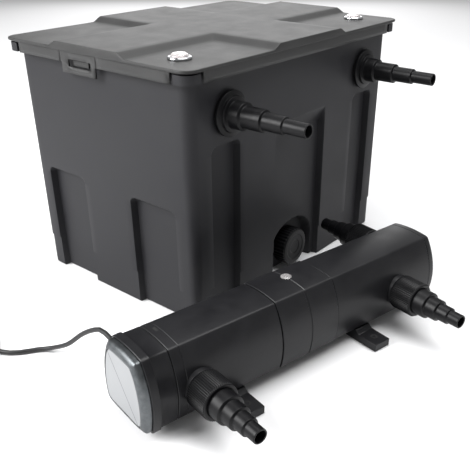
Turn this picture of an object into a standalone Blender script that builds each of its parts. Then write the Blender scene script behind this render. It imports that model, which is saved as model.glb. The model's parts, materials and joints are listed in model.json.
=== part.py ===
"""Pond filter box with a lift-off lid, and its separate tube-shaped UV clarifier on a power cord.

Metres, +Z up. The box stands on z = 0 with the centre of its underside at the origin; the hose tails
point to -Y. The clarifier stands in front of the box, turned a little about Z: its pieces are modelled
in a frame of their own, with the tube along X, and hang on one empty.
"""

import math

import bmesh
import bpy
from mathutils import Matrix, Vector

# ---------------------------------------------------------------- driving sizes
CLEAR = 0.0003            # gap between solids that touch in the real object
SEGMENTS = 20             # sides of a round part

BOX_LENGTH = 0.550        # lid, along X
BOX_DEPTH = 0.400         # lid, along Y
BOX_HEIGHT = 0.400        # floor to the low corner pads of the lid
LID_RISE = 0.008          # raised cross above the corner pads
LID_WALL = 0.003
LID_CORNER = 0.020
LIP_HEIGHT = 0.004
SKIRT_HEIGHT = 0.021
SKIRT_INSET = 0.0035      # skirt behind the lip of the lid
ARM_X_HALF = 0.068        # half width of the arm that runs along X
ARM_Y_HALF = 0.080        # half width of the arm that runs along Y
ARM_SLOPE = 0.016
NOTCH_REACH = 0.029       # the skirt is cut away this far from each corner
CATCH_LOW = -0.007        # catch slot in the skirt, along Y
CATCH_HIGH = 0.045
CATCH_Z = 0.3735
CATCH_TALL = 0.011

TUB_INSET = 0.015         # tub wall behind the lid lip
TUB_DRAFT = 0.0030        # narrowing of each side down to the floor
TUB_WALL = 0.004
TUB_FLOOR = 0.005
TUB_CORNER = 0.018
BAND_HEIGHT = 0.057       # lower band, set in a little
BAND_INSET = 0.0015
RIM_THICK = 0.004
RIM_REACH = 0.0065
RECESS_DEPTH = 0.012
RECESS_CORNER = 0.010
END_RECESSES = ((0.059, 0.148, 0.190), (-0.146, -0.052, 0.187))      # along Y, and top
LONG_RECESSES = ((-0.216, -0.155, 0.280), (0.157, 0.217, 0.280))     # along X, and top
MIDDLE_RECESS = (-0.066, 0.068)
MIDDLE_LOW = 0.256        # the middle recess fades out between these heights
MIDDLE_HIGH = 0.281
POCKET_DEPTH = 0.018      # drain pocket behind the middle recess
POCKET_HALF = 0.056
POCKET_STRAIGHT = 0.050
POCKET_ARCH = 0.042

HOSE_40 = 0.0200          # radii of the steps of a hose tail
HOSE_32 = 0.0160
HOSE_25 = 0.0125
HOSE_20 = 0.0100
TAIL_BORE = 0.0080
TAIL_X = 0.180            # inlet at -X, outlet at +X
TAIL_Z = 0.325
TAIL_LENGTH = 0.1365
TAIL_INSIDE = 0.030
FLANGE_RADIUS = 0.033
SPIGOT_RADIUS = 0.0225
DRAIN_Z = 0.041
DRAIN_RADIUS = 0.025
DRAIN_STICK_OUT = 0.018

SIGHT_X = 0.222
SIGHT_Y = -0.136
SIGHT_RADIUS = 0.017

PARTITION_IN_X = -0.110
PARTITION_OUT_X = 0.115
PARTITION_THICK = 0.003
PARTITION_TOP = 0.375
GRID_Z = 0.098
GRID_THICK = 0.006
GRID_LEG = 0.009
FILL_HALF_Y = 0.150       # foam blocks and grid
FOAM_TOP = 0.352
BAG_RIGHT = 0.231
BAG_HALF_Y = 0.138
BAG_SPLIT = 0.120
BAG_TOP = 0.235

UV_TURN = math.radians(-12.3)
UV_FRONT = 0.355          # axis of the clarifier, this far in front of the origin
UV_AXIS_Z = 0.064
UV_LEFT = -0.395          # rim of the lamp head
UV_SEAM = -0.358          # lamp head to housing
UV_COLLAR_LEFT = -0.191
UV_COLLAR_RIGHT = -0.087
UV_RIGHT = 0.128
UV_WALL = 0.004
UV_SPIGOT = 0.002         # how far the housings' joints step inwards
UV_TOP_HALF = 0.033       # ridge to ridge, upper side
UV_LOW_HALF = 0.046
UV_TOP_Z = 0.1155
UV_LOW_Z = 0.018
UV_BULGES = (0.0030, 0.0115, 0.0030, 0.0115)   # upper side, back, underside, front
UV_SIDE_STEPS = (3, 6, 3, 6)
UV_PORT_IN = -0.325       # the three unions along the tube
UV_PORT_OUT = 0.042
UV_PORT_BACK = 0.097
UV_PORT_Z = 0.058
UV_PORT_BACK_Z = 0.074
UNION_START = 0.057       # distances of the union nut and hose tail from the axis
UNION_END = 0.094
TAIL_END = 0.167
STUB_RADIUS = 0.0218
SIGHT_PORT = (-0.1375, 0.349)
GLAND_ALONG = -0.3775
GLAND_Z = 0.080
GLAND_SEAT = 0.0540       # face of the cable gland boss, out from the axis
FOOT_ALONG = {"left": -0.268, "right": -0.028}
FOOT_HALF = 0.015
FOOT_REACH = 0.088
FOOT_HOLE_OUT = 0.071
FOOT_THICK = 0.012
SLEEVE_RADIUS = 0.0225
LAMP_LENGTH = 0.415

CORD_RADIUS = 0.0034
COIL_CENTRE = (-0.530, 0.060)
COIL_RADIUS = 0.042
BUNDLE_RADIUS = 0.016
TIE_THICK = 0.0013
PLUG_RADIUS = 0.0192

# ---------------------------------------------------------------- scene set-up
for leftover in list(bpy.data.objects):
    bpy.data.objects.remove(leftover, do_unlink=True)

parts = bpy.data.collections.new("pond_filter_with_uv")
cutters = bpy.data.collections.new("cutters")
bpy.context.scene.collection.children.link(parts)
bpy.context.scene.collection.children.link(cutters)

uv_frame = bpy.data.objects.new("uv_frame", None)
uv_frame.rotation_euler.z = UV_TURN
parts.objects.link(uv_frame)


def material(name, colour, roughness, metallic=0.0, transmission=0.0):
    mat = bpy.data.materials.new(name)
    mat.use_nodes = True
    shader = mat.node_tree.nodes["Principled BSDF"]
    shader.inputs["Base Color"].default_value = (*colour, 1.0)
    shader.inputs["Roughness"].default_value = roughness
    shader.inputs["Metallic"].default_value = metallic
    shader.inputs["Transmission Weight"].default_value = transmission
    return mat


TUB_PLASTIC = material("tub_plastic", (0.030, 0.030, 0.032), 0.55)
LID_PLASTIC = material("lid_plastic", (0.045, 0.045, 0.045), 0.60)
FITTING = material("fitting_plastic", (0.012, 0.012, 0.013), 0.40)
UV_PLASTIC = material("uv_plastic", (0.015, 0.015, 0.016), 0.35)
SEAL = material("seal_rubber", (0.020, 0.020, 0.020), 0.80)
CHROME = material("chrome_trim", (0.80, 0.80, 0.82), 0.12, 1.0)
SILVER = material("silver_trim", (0.62, 0.64, 0.65), 0.25, 1.0)
BADGE = material("badge_white", (0.80, 0.80, 0.80), 0.30)
CLEAR_PLASTIC = material("clear_plastic", (0.90, 0.92, 0.92), 0.05, 0.0, 0.9)
QUARTZ = material("quartz_glass", (0.92, 0.95, 0.96), 0.03, 0.0, 0.9)
LAMP_GLASS = material("lamp_glass", (0.90, 0.93, 0.98), 0.08, 0.0, 0.6)
DIAL = material("dial_plastic", (0.75, 0.70, 0.70), 0.45)
INNER = material("inner_plastic", (0.060, 0.062, 0.065), 0.50)
FOAM_BLUE = material("foam_blue", (0.030, 0.10, 0.25), 0.95)
FOAM_GREEN = material("foam_green", (0.05, 0.16, 0.07), 0.95)
FOAM_BLACK = material("foam_black", (0.03, 0.03, 0.03), 0.95)
NET = material("media_net", (0.45, 0.42, 0.36), 0.90)
LAMP_BASE = material("lamp_base", (0.75, 0.75, 0.73), 0.40)
CORD = material("cord_rubber", (0.016, 0.016, 0.016), 0.60)
PLUG = material("plug_plastic", (0.020, 0.020, 0.020), 0.45)

UP = (0.0, 0.0, 1.0)
FRONT = (0.0, -1.0, 0.0)
BACK = (0.0, 1.0, 0.0)
ALONG = (1.0, 0.0, 0.0)


# ---------------------------------------------------------------- shape helpers
def place(obj, mat, location=(0.0, 0.0, 0.0), towards=UP, parent=None):
    """Puts an object in its collection and at its place; without a material it is a cutter."""
    if mat is None:
        cutters.objects.link(obj)
        obj.hide_render = True
        obj.display_type = "WIRE"
    else:
        parts.objects.link(obj)
        obj.data.materials.append(mat)
    obj.location = location
    obj.rotation_euler = Vector(UP).rotation_difference(Vector(towards)).to_euler()
    obj.parent = parent
    return obj


def boolean(target, tool, operation="DIFFERENCE"):
    step = target.modifiers.new(operation.lower() + "_" + tool.name, "BOOLEAN")
    step.operation = operation
    step.solver = "EXACT"
    step.object = tool


def boxes(name, corners, mat, parent=None):
    """One object of boxes, each given by its low and high corner; several only as a cutter."""
    mesh = bpy.data.meshes.new(name)
    work = bmesh.new()
    for low, high in corners:
        size = Vector(high) - Vector(low)
        middle = (Vector(high) + Vector(low)) / 2
        matrix = Matrix.Translation(middle) @ Matrix.Diagonal((*size, 1.0))
        bmesh.ops.create_cube(work, size=1.0, matrix=matrix)
    work.to_mesh(mesh)
    work.free()
    return place(bpy.data.objects.new(name, mesh), mat, parent=parent)


def turned(name, profile, mat, location, towards=UP, parent=None, sides=SEGMENTS, solid=False):
    """A body turned about its own Z from (radius, height) points, from its base up the outside.

    A solid's profile runs from one end to the other and is closed to the axis at both.
    """
    points = list(profile)
    if solid:
        points = [(0.0, points[0][1]), *points, (0.0, points[-1][1])]
    points.reverse()
    edges = []
    for i in range(len(points)):
        j = (i + 1) % len(points)
        if points[i][0] > 0.0 or points[j][0] > 0.0:
            edges.append((i, j))
    mesh = bpy.data.meshes.new(name)
    mesh.from_pydata([(radius, 0.0, height) for radius, height in points], edges, [])
    obj = place(bpy.data.objects.new(name, mesh), mat, location, towards, parent)
    screw = obj.modifiers.new("turn", "SCREW")
    screw.steps = sides
    screw.render_steps = sides
    screw.use_merge_vertices = True
    screw.merge_threshold = 0.00001
    screw.use_smooth_shade = True
    return obj


def rod(name, radius, low, high, mat, location, towards=UP, parent=None, sides=SEGMENTS):
    """A plain cylinder, half a step round so that its edges miss those of a turned body it cuts."""
    mesh = bpy.data.meshes.new(name)
    work = bmesh.new()
    matrix = Matrix.Translation((0.0, 0.0, (low + high) / 2)) @ Matrix.Rotation(math.pi / sides, 4, "Z")
    bmesh.ops.create_cone(work, cap_ends=True, segments=sides, radius1=radius, radius2=radius,
                          depth=high - low, matrix=matrix)
    work.to_mesh(mesh)
    work.free()
    mesh.shade_smooth()
    mesh.set_sharp_from_angle(angle=math.radians(30))
    return place(bpy.data.objects.new(name, mesh), mat, location, towards, parent)


def extruded(name, outline, thick, mat, location, turn=(0.0, 0.0, 0.0), parent=None):
    """A flat outline of (x, y) points, thickened along its own Z from its place."""
    mesh = bpy.data.meshes.new(name)
    work = bmesh.new()
    face = work.faces.new([work.verts.new((x, y, 0.0)) for x, y in outline])
    raised = bmesh.ops.extrude_face_region(work, geom=[face], use_keep_orig=True)
    top = [item for item in raised["geom"] if isinstance(item, bmesh.types.BMVert)]
    bmesh.ops.translate(work, verts=top, vec=(0.0, 0.0, thick))
    bmesh.ops.recalc_face_normals(work, faces=work.faces)
    work.to_mesh(mesh)
    work.free()
    obj = place(bpy.data.objects.new(name, mesh), mat, location, parent=parent)
    obj.rotation_euler = turn
    return obj


STAND_ALONG_Y = (math.pi / 2, 0.0, 0.0)                # outline in X and Z, thickened to -Y
STAND_ALONG_X = (math.pi / 2, 0.0, math.pi / 2)        # outline in Y and Z, thickened to +X


def loft(name, rings, mat, location=(0.0, 0.0, 0.0), towards=UP, parent=None, hollow=False):
    """Skin through unlike rings of equal point count; a hollow one closes on its first ring."""
    count = len(rings[0])
    faces = []
    spans = len(rings) if hollow else len(rings) - 1
    for i in range(spans):
        a = i * count
        b = ((i + 1) % len(rings)) * count
        for k in range(count):
            j = (k + 1) % count
            faces.append((a + k, a + j, b + j, b + k))
    if not hollow:
        faces.append(tuple(range(count)))
        faces.append(tuple((len(rings) - 1) * count + k for k in range(count)))
    mesh = bpy.data.meshes.new(name)
    mesh.from_pydata([point for ring in rings for point in ring], [], faces)
    work = bmesh.new()
    work.from_mesh(mesh)
    bmesh.ops.recalc_face_normals(work, faces=work.faces)
    work.to_mesh(mesh)
    work.free()
    mesh.shade_smooth()
    mesh.set_sharp_from_angle(angle=math.radians(30))
    return place(bpy.data.objects.new(name, mesh), mat, location, towards, parent)


def ribbed(name, rows, mat, location, towards=UP, parent=None, ribs=12, hollow=True):
    """A nut lofted through (radius, height, rib) rows round to its bore; a cap ends in its flat top."""
    rings = []
    for radius, height, rib in rows:
        ring = []
        for k in range(2 * ribs):
            reach = radius + (rib if k % 2 else 0.0)
            angle = math.pi * k / ribs
            ring.append((reach * math.cos(angle), reach * math.sin(angle), height))
        rings.append(ring)
    return loft(name, rings, mat, location, towards, parent, hollow)


def rounded(half_x, half_y, radius, height, steps=4):
    """A rounded rectangle of points about Z."""
    ring = []
    centres = ((1, 1, 0), (-1, 1, 90), (-1, -1, 180), (1, -1, 270))
    for sx, sy, start in centres:
        for i in range(steps + 1):
            angle = math.radians(start + 90 * i / steps)
            x = sx * (half_x - radius) + radius * math.cos(angle)
            y = sy * (half_y - radius) + radius * math.sin(angle)
            ring.append((x, y, height))
    return ring


def arc(centre_x, centre_y, radius_x, radius_y, start, end, steps):
    """Points of an elliptic arc, from start to end in degrees."""
    points = []
    for i in range(steps + 1):
        angle = math.radians(start + (end - start) * i / steps)
        points.append((centre_x + radius_x * math.cos(angle), centre_y + radius_y * math.sin(angle)))
    return points


def pipe(name, route, radius, mat, tilt=0.0):
    """A straight or bent rod along a route, made a closed mesh so that it can be cut or cut with."""
    curve = bpy.data.curves.new(name + "_line", "CURVE")
    curve.dimensions = "3D"
    curve.bevel_depth = radius
    curve.bevel_resolution = 2
    curve.use_fill_caps = True
    spline = curve.splines.new("POLY")
    spline.points.add(len(route) - 1)
    for point, spot in zip(spline.points, route):
        point.co = (*spot, 1.0)
        point.tilt = tilt
    line = bpy.data.objects.new(name + "_line", curve)
    bpy.context.scene.collection.objects.link(line)
    evaluated = line.evaluated_get(bpy.context.evaluated_depsgraph_get())
    mesh = bpy.data.meshes.new_from_object(evaluated)
    bpy.data.objects.remove(line, do_unlink=True)
    work = bmesh.new()
    work.from_mesh(mesh)
    bmesh.ops.remove_doubles(work, verts=work.verts, dist=0.00001)
    bmesh.ops.recalc_face_normals(work, faces=work.faces)
    work.to_mesh(mesh)
    work.free()
    return place(bpy.data.objects.new(name, mesh), mat)


# ---------------------------------------------------------------- filter box: tub
TUB_TOP = BOX_HEIGHT - LID_WALL - CLEAR
TUB_HALF_X = BOX_LENGTH / 2 - TUB_INSET
TUB_HALF_Y = BOX_DEPTH / 2 - TUB_INSET
SKIRT_LOW = BOX_HEIGHT - SKIRT_HEIGHT
SKIRT_HALF_X = BOX_LENGTH / 2 - SKIRT_INSET
SKIRT_HALF_Y = BOX_DEPTH / 2 - SKIRT_INSET
END_PLANE = TUB_HALF_X - TUB_DRAFT - RECESS_DEPTH
LONG_PLANE = TUB_HALF_Y - TUB_DRAFT - RECESS_DEPTH
POCKET_PLANE = LONG_PLANE - POCKET_DEPTH
BELOW = 0.02              # cutters run this far below the floor
BEYOND = 0.04             # and this far outside the walls


def tub_inward(z):
    """How far the drafted wall is inside its top edge at height z."""
    return TUB_DRAFT * (1.0 - z / TUB_TOP)


def tub_ring(z, inward, radius=TUB_CORNER):
    total = tub_inward(z) + inward
    return rounded(TUB_HALF_X - total, TUB_HALF_Y - total, radius, z)


def recess(name, left, right, top, plane, side, grow):
    """Cutter for a wall recess with rounded upper corners that runs out at the bottom."""
    left -= grow
    right += grow
    top += grow
    corner = RECESS_CORNER + grow
    outline = [(left, -BELOW), (right, -BELOW)]
    outline += arc(right - corner, top - corner, corner, corner, 0, 90, 3)
    outline += arc(left + corner, top - corner, corner, corner, 90, 180, 3)
    plane -= grow
    outer = BEYOND + (TUB_HALF_X if side in ("left", "right") else TUB_HALF_Y)
    thick = outer - plane
    if side == "front":
        return extruded(name, outline, thick, None, (0.0, -plane, 0.0), STAND_ALONG_Y)
    if side == "back":
        return extruded(name, outline, thick, None, (0.0, outer, 0.0), STAND_ALONG_Y)
    start = plane if side == "right" else -outer
    return extruded(name, outline, thick, None, (start, 0.0, 0.0), STAND_ALONG_X)


def middle_recess(name, sign, grow):
    """Cutter for the wide recess of a long wall, which fades out towards its top."""
    plane = LONG_PLANE - grow
    outer = TUB_HALF_Y + BEYOND
    fade = (MIDDLE_HIGH - MIDDLE_LOW) * (outer - plane) / (RECESS_DEPTH + TUB_DRAFT)
    outline = [(sign * plane, -BELOW), (sign * outer, -BELOW), (sign * outer, MIDDLE_LOW + grow + fade),
               (sign * plane, MIDDLE_LOW + grow)]
    left = MIDDLE_RECESS[0] - grow
    thick = MIDDLE_RECESS[1] + grow - left
    return extruded(name, outline, thick, None, (left, 0.0, 0.0), STAND_ALONG_X)


def recess_set(tag, grow):
    """The wall recesses of all four sides, either as cut or grown by the wall for the inside."""
    made = []
    for side in ("left", "right"):
        for i, (low, high, top) in enumerate(END_RECESSES):
            made.append(recess(f"{tag}_{side}_{i}", low, high, top, END_PLANE, side, grow))
    for side in ("front", "back"):
        for i, (low, high, top) in enumerate(LONG_RECESSES):
            made.append(recess(f"{tag}_{side}_{i}", low, high, top, LONG_PLANE, side, grow))
    made.append(middle_recess(f"{tag}_front_middle", -1, grow))
    made.append(middle_recess(f"{tag}_back_middle", 1, grow))
    return made


def drain_pocket(name, grow):
    """Cutter for the arched pocket behind the middle recess, round the drain."""
    half = POCKET_HALF + grow
    outline = [(-half, -BELOW), (half, -BELOW)]
    outline += arc(0.0, POCKET_STRAIGHT, half, POCKET_ARCH + grow, 0, 180, 8)
    plane = POCKET_PLANE - grow
    return extruded(name, outline, LONG_PLANE + 0.004 - plane, None, (0.0, -plane, 0.0), STAND_ALONG_Y)


def corner_block(name, sx, sy):
    """Solid corner of the tub that fills the notch of the lid skirt."""
    reach = NOTCH_REACH - 0.003
    radius = LID_CORNER - SKIRT_INSET
    outline = [(SKIRT_HALF_X - reach, TUB_HALF_Y - 0.006), (SKIRT_HALF_X - reach, SKIRT_HALF_Y)]
    outline += arc(SKIRT_HALF_X - radius, SKIRT_HALF_Y - radius, radius, radius, 90, 0, 5)
    outline += [(SKIRT_HALF_X, SKIRT_HALF_Y - reach), (TUB_HALF_X - 0.006, SKIRT_HALF_Y - reach),
                (TUB_HALF_X - 0.012, TUB_HALF_Y - 0.012)]
    outline = [(sx * x, sy * y) for x, y in outline]
    low = SKIRT_LOW + 0.0005
    return extruded(name, outline, TUB_TOP - RIM_THICK - low, None, (0.0, 0.0, low))


def make_tub():
    rim = TUB_TOP - RIM_THICK
    outer = [
        tub_ring(0.0, BAND_INSET + 0.002),
        tub_ring(0.002, BAND_INSET),
        tub_ring(BAND_HEIGHT - 0.001, BAND_INSET),
        tub_ring(BAND_HEIGHT, 0.0),
        tub_ring(rim, 0.0),
        tub_ring(rim, -RIM_REACH),
        tub_ring(TUB_TOP, -RIM_REACH),
    ]
    tub = loft("tank_shell", outer, TUB_PLASTIC)
    for sx in (-1, 1):
        for sy in (-1, 1):
            boolean(tub, corner_block(f"corner_block_{sx}_{sy}", sx, sy), "UNION")
    for cutter in recess_set("recess", 0.0):
        boolean(tub, cutter)
    boolean(tub, drain_pocket("pocket", 0.0))
    inside = TUB_WALL + BAND_INSET
    inner_corner = TUB_CORNER - TUB_WALL
    levels = (TUB_FLOOR, TUB_TOP, TUB_TOP + 0.05)
    cavity = loft("tub_cavity", [tub_ring(z, inside, inner_corner) for z in levels], None)
    for cutter in recess_set("bulge", TUB_WALL):
        boolean(cavity, cutter)
    boolean(cavity, drain_pocket("pocket_bulge", TUB_WALL))
    boolean(tub, cavity)
    hole = SPIGOT_RADIUS + 0.0011
    for x in (-TAIL_X, TAIL_X):
        boolean(tub, rod(f"tail_hole_{x}", hole, -BEYOND, BEYOND, None, (x, -TUB_HALF_Y, TAIL_Z), FRONT))
    hole = DRAIN_RADIUS + 0.0006
    boolean(tub, rod("drain_hole", hole, -0.012, 0.012, None, (0.0, -POCKET_PLANE, DRAIN_Z), FRONT))
    nibs = []
    for sx in (-1, 1):
        ends = sorted((sx * (TUB_HALF_X - 0.003), sx * (TUB_HALF_X + 0.008)))
        low = (ends[0], CATCH_LOW + 0.009, CATCH_Z + 0.002)
        nibs.append((low, (ends[1], CATCH_HIGH - 0.009, CATCH_Z + CATCH_TALL - 0.0015)))
    boolean(tub, boxes("catch_nibs", nibs, None), "UNION")


# ---------------------------------------------------------------- filter box: lid
def cross(height, widen, half_x, half_y):
    """Outline of the raised cross: one arm along X and one along Y."""
    ax = ARM_X_HALF + widen
    ay = ARM_Y_HALF + widen
    corners = [
        (half_x, -ax), (half_x, ax), (ay, ax), (ay, half_y), (-ay, half_y), (-ay, ax),
        (-half_x, ax), (-half_x, -ax), (-ay, -ax), (-ay, -half_y), (ay, -half_y), (ay, -ax),
    ]
    return [(x, y, height) for x, y in corners]


def make_lid():
    half_x = BOX_LENGTH / 2
    half_y = BOX_DEPTH / 2
    skirt_corner = LID_CORNER - SKIRT_INSET
    lid = loft(
        "lid_shell",
        [
            rounded(SKIRT_HALF_X, SKIRT_HALF_Y, skirt_corner, SKIRT_LOW),
            rounded(SKIRT_HALF_X, SKIRT_HALF_Y, skirt_corner, BOX_HEIGHT - LIP_HEIGHT - 0.001),
            rounded(half_x, half_y, LID_CORNER, BOX_HEIGHT - LIP_HEIGHT),
            rounded(half_x, half_y, LID_CORNER, BOX_HEIGHT - 0.001),
            rounded(half_x - 0.001, half_y - 0.001, LID_CORNER - 0.001, BOX_HEIGHT),
        ],
        LID_PLASTIC,
    )
    raised = [
        cross(BOX_HEIGHT - 0.0035, ARM_SLOPE + 0.003, half_x, half_y),
        cross(BOX_HEIGHT, ARM_SLOPE, half_x, half_y),
        cross(BOX_HEIGHT + LID_RISE - 0.001, 0.001, half_x, half_y),
        cross(BOX_HEIGHT + LID_RISE, 0.0, half_x - 0.001, half_y - 0.001),
    ]
    boolean(lid, loft("raised_cross", raised, None), "UNION")
    inner_x = SKIRT_HALF_X - LID_WALL
    inner_y = SKIRT_HALF_Y - LID_WALL
    tabs = []
    for sx in (-1, 1):
        ends = sorted((sx * inner_x, sx * SKIRT_HALF_X))
        low = (ends[0], CATCH_LOW - 0.009, SKIRT_LOW - 0.015)
        tabs.append((low, (ends[1], CATCH_HIGH + 0.015, SKIRT_LOW + 0.002)))
    boolean(lid, boxes("catch_tabs", tabs, None), "UNION")
    levels = (SKIRT_LOW - BELOW, BOX_HEIGHT - LID_WALL)
    under = [rounded(inner_x, inner_y, skirt_corner - LID_WALL, z) for z in levels]
    boolean(lid, loft("lid_underside", under, None))
    under_cross = [
        cross(BOX_HEIGHT - LID_WALL - 0.002, ARM_SLOPE - LID_WALL, inner_x, inner_y),
        cross(BOX_HEIGHT - LID_WALL, ARM_SLOPE - LID_WALL, inner_x, inner_y),
        cross(BOX_HEIGHT + LID_RISE - LID_WALL, -LID_WALL, inner_x, inner_y),
    ]
    boolean(lid, loft("lid_underside_cross", under_cross, None))
    cuts = []
    for sx in (-1, 1):
        for sy in (-1, 1):
            xs = sorted((sx * (SKIRT_HALF_X - NOTCH_REACH), sx * (half_x + BEYOND)))
            ys = sorted((sy * (SKIRT_HALF_Y - NOTCH_REACH), sy * (half_y + BEYOND)))
            cuts.append(((xs[0], ys[0], SKIRT_LOW - 0.01), (xs[1], ys[1], BOX_HEIGHT - LIP_HEIGHT - 0.0015)))
        xs = sorted((sx * (inner_x - 0.006), sx * (half_x + BEYOND)))
        cuts.append(((xs[0], CATCH_LOW, CATCH_Z), (xs[1], CATCH_HIGH, CATCH_Z + CATCH_TALL)))
        for y in (CATCH_LOW - 0.013, CATCH_HIGH + 0.0175):
            cuts.append(((xs[0], y, 0.36), (xs[1], y + 0.0015, BOX_HEIGHT - 0.007)))
    boolean(lid, boxes("skirt_cuts", cuts, None))
    for sx in (-1, 1):
        boolean(lid, rod(f"sight_hole_{sx}", 0.0035, -0.01, 0.01, None, (sx * SIGHT_X, SIGHT_Y, BOX_HEIGHT),
                         sides=12))


def make_sight(side, sx):
    """Chromed ring and clear dome on a corner pad."""
    spot = (sx * SIGHT_X, SIGHT_Y, BOX_HEIGHT + CLEAR)
    inner = SIGHT_RADIUS - 0.0038
    turned(f"sight_bezel_{side}", [(inner, 0.0), (SIGHT_RADIUS, 0.0), (SIGHT_RADIUS, 0.0022),
                                   (SIGHT_RADIUS - 0.0015, 0.0036), (inner, 0.0036)], CHROME, spot)
    outer = inner - CLEAR
    wall = 0.0016
    dome = [(outer - wall, 0.0), (outer, 0.0)]
    dome += arc(0.0, 0.0040, outer, 0.0052, 0, 68, 2)
    dome += [(0.0, 0.0092), (0.0, 0.0077)]
    dome += arc(0.0, 0.0038, outer - wall, 0.0039, 68, 0, 2)
    turned(f"sight_lens_{side}", dome, CLEAR_PLASTIC, spot, sides=16)


def make_sight_inserts():
    """Float disc under the near dome and thermometer under the far one, each on a stem through the lid."""
    for name, sx, radius, stem in (("float_disc", -1, 0.0098, 0.018), ("thermometer_dial", 1, 0.0102, 0.040)):
        profile = [(0.0028, -stem), (0.0028, 0.0), (radius, 0.0), (radius, 0.0015), (radius - 0.001, 0.0022)]
        turned(name, profile, DIAL, (sx * SIGHT_X, SIGHT_Y, BOX_HEIGHT + CLEAR), sides=16, solid=True)


# ---------------------------------------------------------------- filter box: fittings
WALL_FACE = TUB_HALF_Y - tub_inward(TAIL_Z + FLANGE_RADIUS) + CLEAR
WALL_BACK = TUB_HALF_Y - tub_inward(TAIL_Z - FLANGE_RADIUS) - TUB_WALL - BAND_INSET - CLEAR


def make_bulkhead(name, x):
    """Stepped hose tail through the wall, its flange gasket outside and its lock nut inside."""
    face = (x, -WALL_FACE, TAIL_Z)
    ring = [(0.0240, 0.0), (0.0305, 0.0), (0.0305, 0.0020), (0.0240, 0.0020)]
    turned(f"{name}_gasket", ring, SEAL, face, FRONT)
    seat = 0.0020 + CLEAR
    profile = [
        (0.0190, -TAIL_INSIDE), (SPIGOT_RADIUS, -TAIL_INSIDE), (SPIGOT_RADIUS, seat), (FLANGE_RADIUS, seat),
        (FLANGE_RADIUS, 0.0075), (0.0260, 0.0085), (0.0260, 0.0135), (HOSE_40, 0.0140), (HOSE_40, 0.0315),
        (HOSE_32, 0.0330), (HOSE_32, 0.0655), (HOSE_25, 0.0665), (HOSE_25, 0.0995), (HOSE_20, 0.1005),
        (HOSE_20, TAIL_LENGTH), (TAIL_BORE, TAIL_LENGTH), (TAIL_BORE, 0.0980), (0.0135, 0.0600),
        (0.0135, 0.0310), (0.0175, 0.0240),
    ]
    turned(f"{name}_tail", profile, FITTING, face, FRONT)
    nut_back = WALL_BACK - 0.011
    bore = SPIGOT_RADIUS + 0.0005
    rows = [(0.0320, 0.0, 0.0018), (0.0320, WALL_BACK - nut_back, 0.0018), (bore, WALL_BACK - nut_back, 0.0),
            (bore, 0.0, 0.0)]
    ribbed(f"{name}_lock_nut", rows, FITTING, (x, -nut_back, TAIL_Z), FRONT)


def make_drain():
    face = (0.0, -POCKET_PLANE - CLEAR, DRAIN_Z)
    inside = 0.016
    profile = [
        (0.0205, -inside), (DRAIN_RADIUS, -inside), (DRAIN_RADIUS, 0.0), (0.0310, 0.0), (0.0310, 0.0040),
        (DRAIN_RADIUS, 0.0040), (DRAIN_RADIUS, DRAIN_STICK_OUT), (0.0205, DRAIN_STICK_OUT),
    ]
    turned("drain_spigot", profile, FITTING, face, FRONT)
    nut = 0.008
    bore = DRAIN_RADIUS + 0.0005
    nut_y = -(POCKET_PLANE - TUB_WALL - CLEAR - nut)
    rows = [(0.0300, 0.0, 0.0015), (0.0300, nut, 0.0015), (bore, nut, 0.0), (bore, 0.0, 0.0)]
    ribbed("drain_lock_nut", rows, FITTING, (0.0, nut_y, DRAIN_Z), FRONT)
    bore = DRAIN_RADIUS + 0.0006
    rows = [
        (bore, DRAIN_STICK_OUT + CLEAR, 0.0), (bore, 0.0043, 0.0), (0.0325, 0.0043, 0.0014),
        (0.0325, 0.0250, 0.0014), (0.0305, 0.0270, 0.0), (0.0130, 0.0270, 0.0), (0.0120, 0.0255, 0.0),
    ]
    ribbed("drain_cap", rows, FITTING, face, FRONT, ribs=18, hollow=False)


# ---------------------------------------------------------------- filter box: inside
def inner_half_y(z):
    return TUB_HALF_Y - tub_inward(z) - TUB_WALL - BAND_INSET


def make_partition(name, x, window_low, window_high):
    """Wall across the tub with a row of windows that lets the water through."""
    low_z = TUB_FLOOR + CLEAR
    low_y = inner_half_y(low_z) - 0.0005
    high_y = inner_half_y(PARTITION_TOP) - 0.0005
    outline = [(-low_y, low_z), (low_y, low_z), (high_y, PARTITION_TOP), (-high_y, PARTITION_TOP)]
    left = x - PARTITION_THICK / 2
    plate = extruded(name, outline, PARTITION_THICK, INNER, (left, 0.0, 0.0), STAND_ALONG_X)
    windows = []
    for i in range(-2, 3):
        y = 0.054 * i
        windows.append(((x - 0.01, y - 0.020, window_low), (x + 0.01, y + 0.020, window_high)))
    boolean(plate, boxes(name + "_windows", windows, None))


def make_grid(left, right):
    """Grid that carries the foam, on four legs."""
    slab = ((left, -FILL_HALF_Y, GRID_Z), (right, FILL_HALF_Y, GRID_Z + GRID_THICK))
    plate = boxes("media_grid", [slab], INNER)
    columns = 4
    rows = 5
    pitch_x = (right - left) / columns
    pitch_y = 2 * FILL_HALF_Y / rows
    openings = []
    for i in range(columns):
        for j in range(rows):
            cx = left + pitch_x * (i + 0.5)
            cy = -FILL_HALF_Y + pitch_y * (j + 0.5)
            openings.append(((cx - pitch_x * 0.38, cy - pitch_y * 0.38, GRID_Z - 0.01),
                             (cx + pitch_x * 0.38, cy + pitch_y * 0.38, GRID_Z + 0.02)))
    boolean(plate, boxes("grid_openings", openings, None))
    half = GRID_LEG / 2
    legs = []
    for cx in (left + pitch_x, right - pitch_x):
        for cy in (-FILL_HALF_Y + pitch_y, FILL_HALF_Y - pitch_y):
            legs.append(((cx - half, cy - half, TUB_FLOOR + CLEAR), (cx + half, cy + half, GRID_Z + 0.003)))
    boolean(plate, boxes("grid_legs", legs, None), "UNION")


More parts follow.
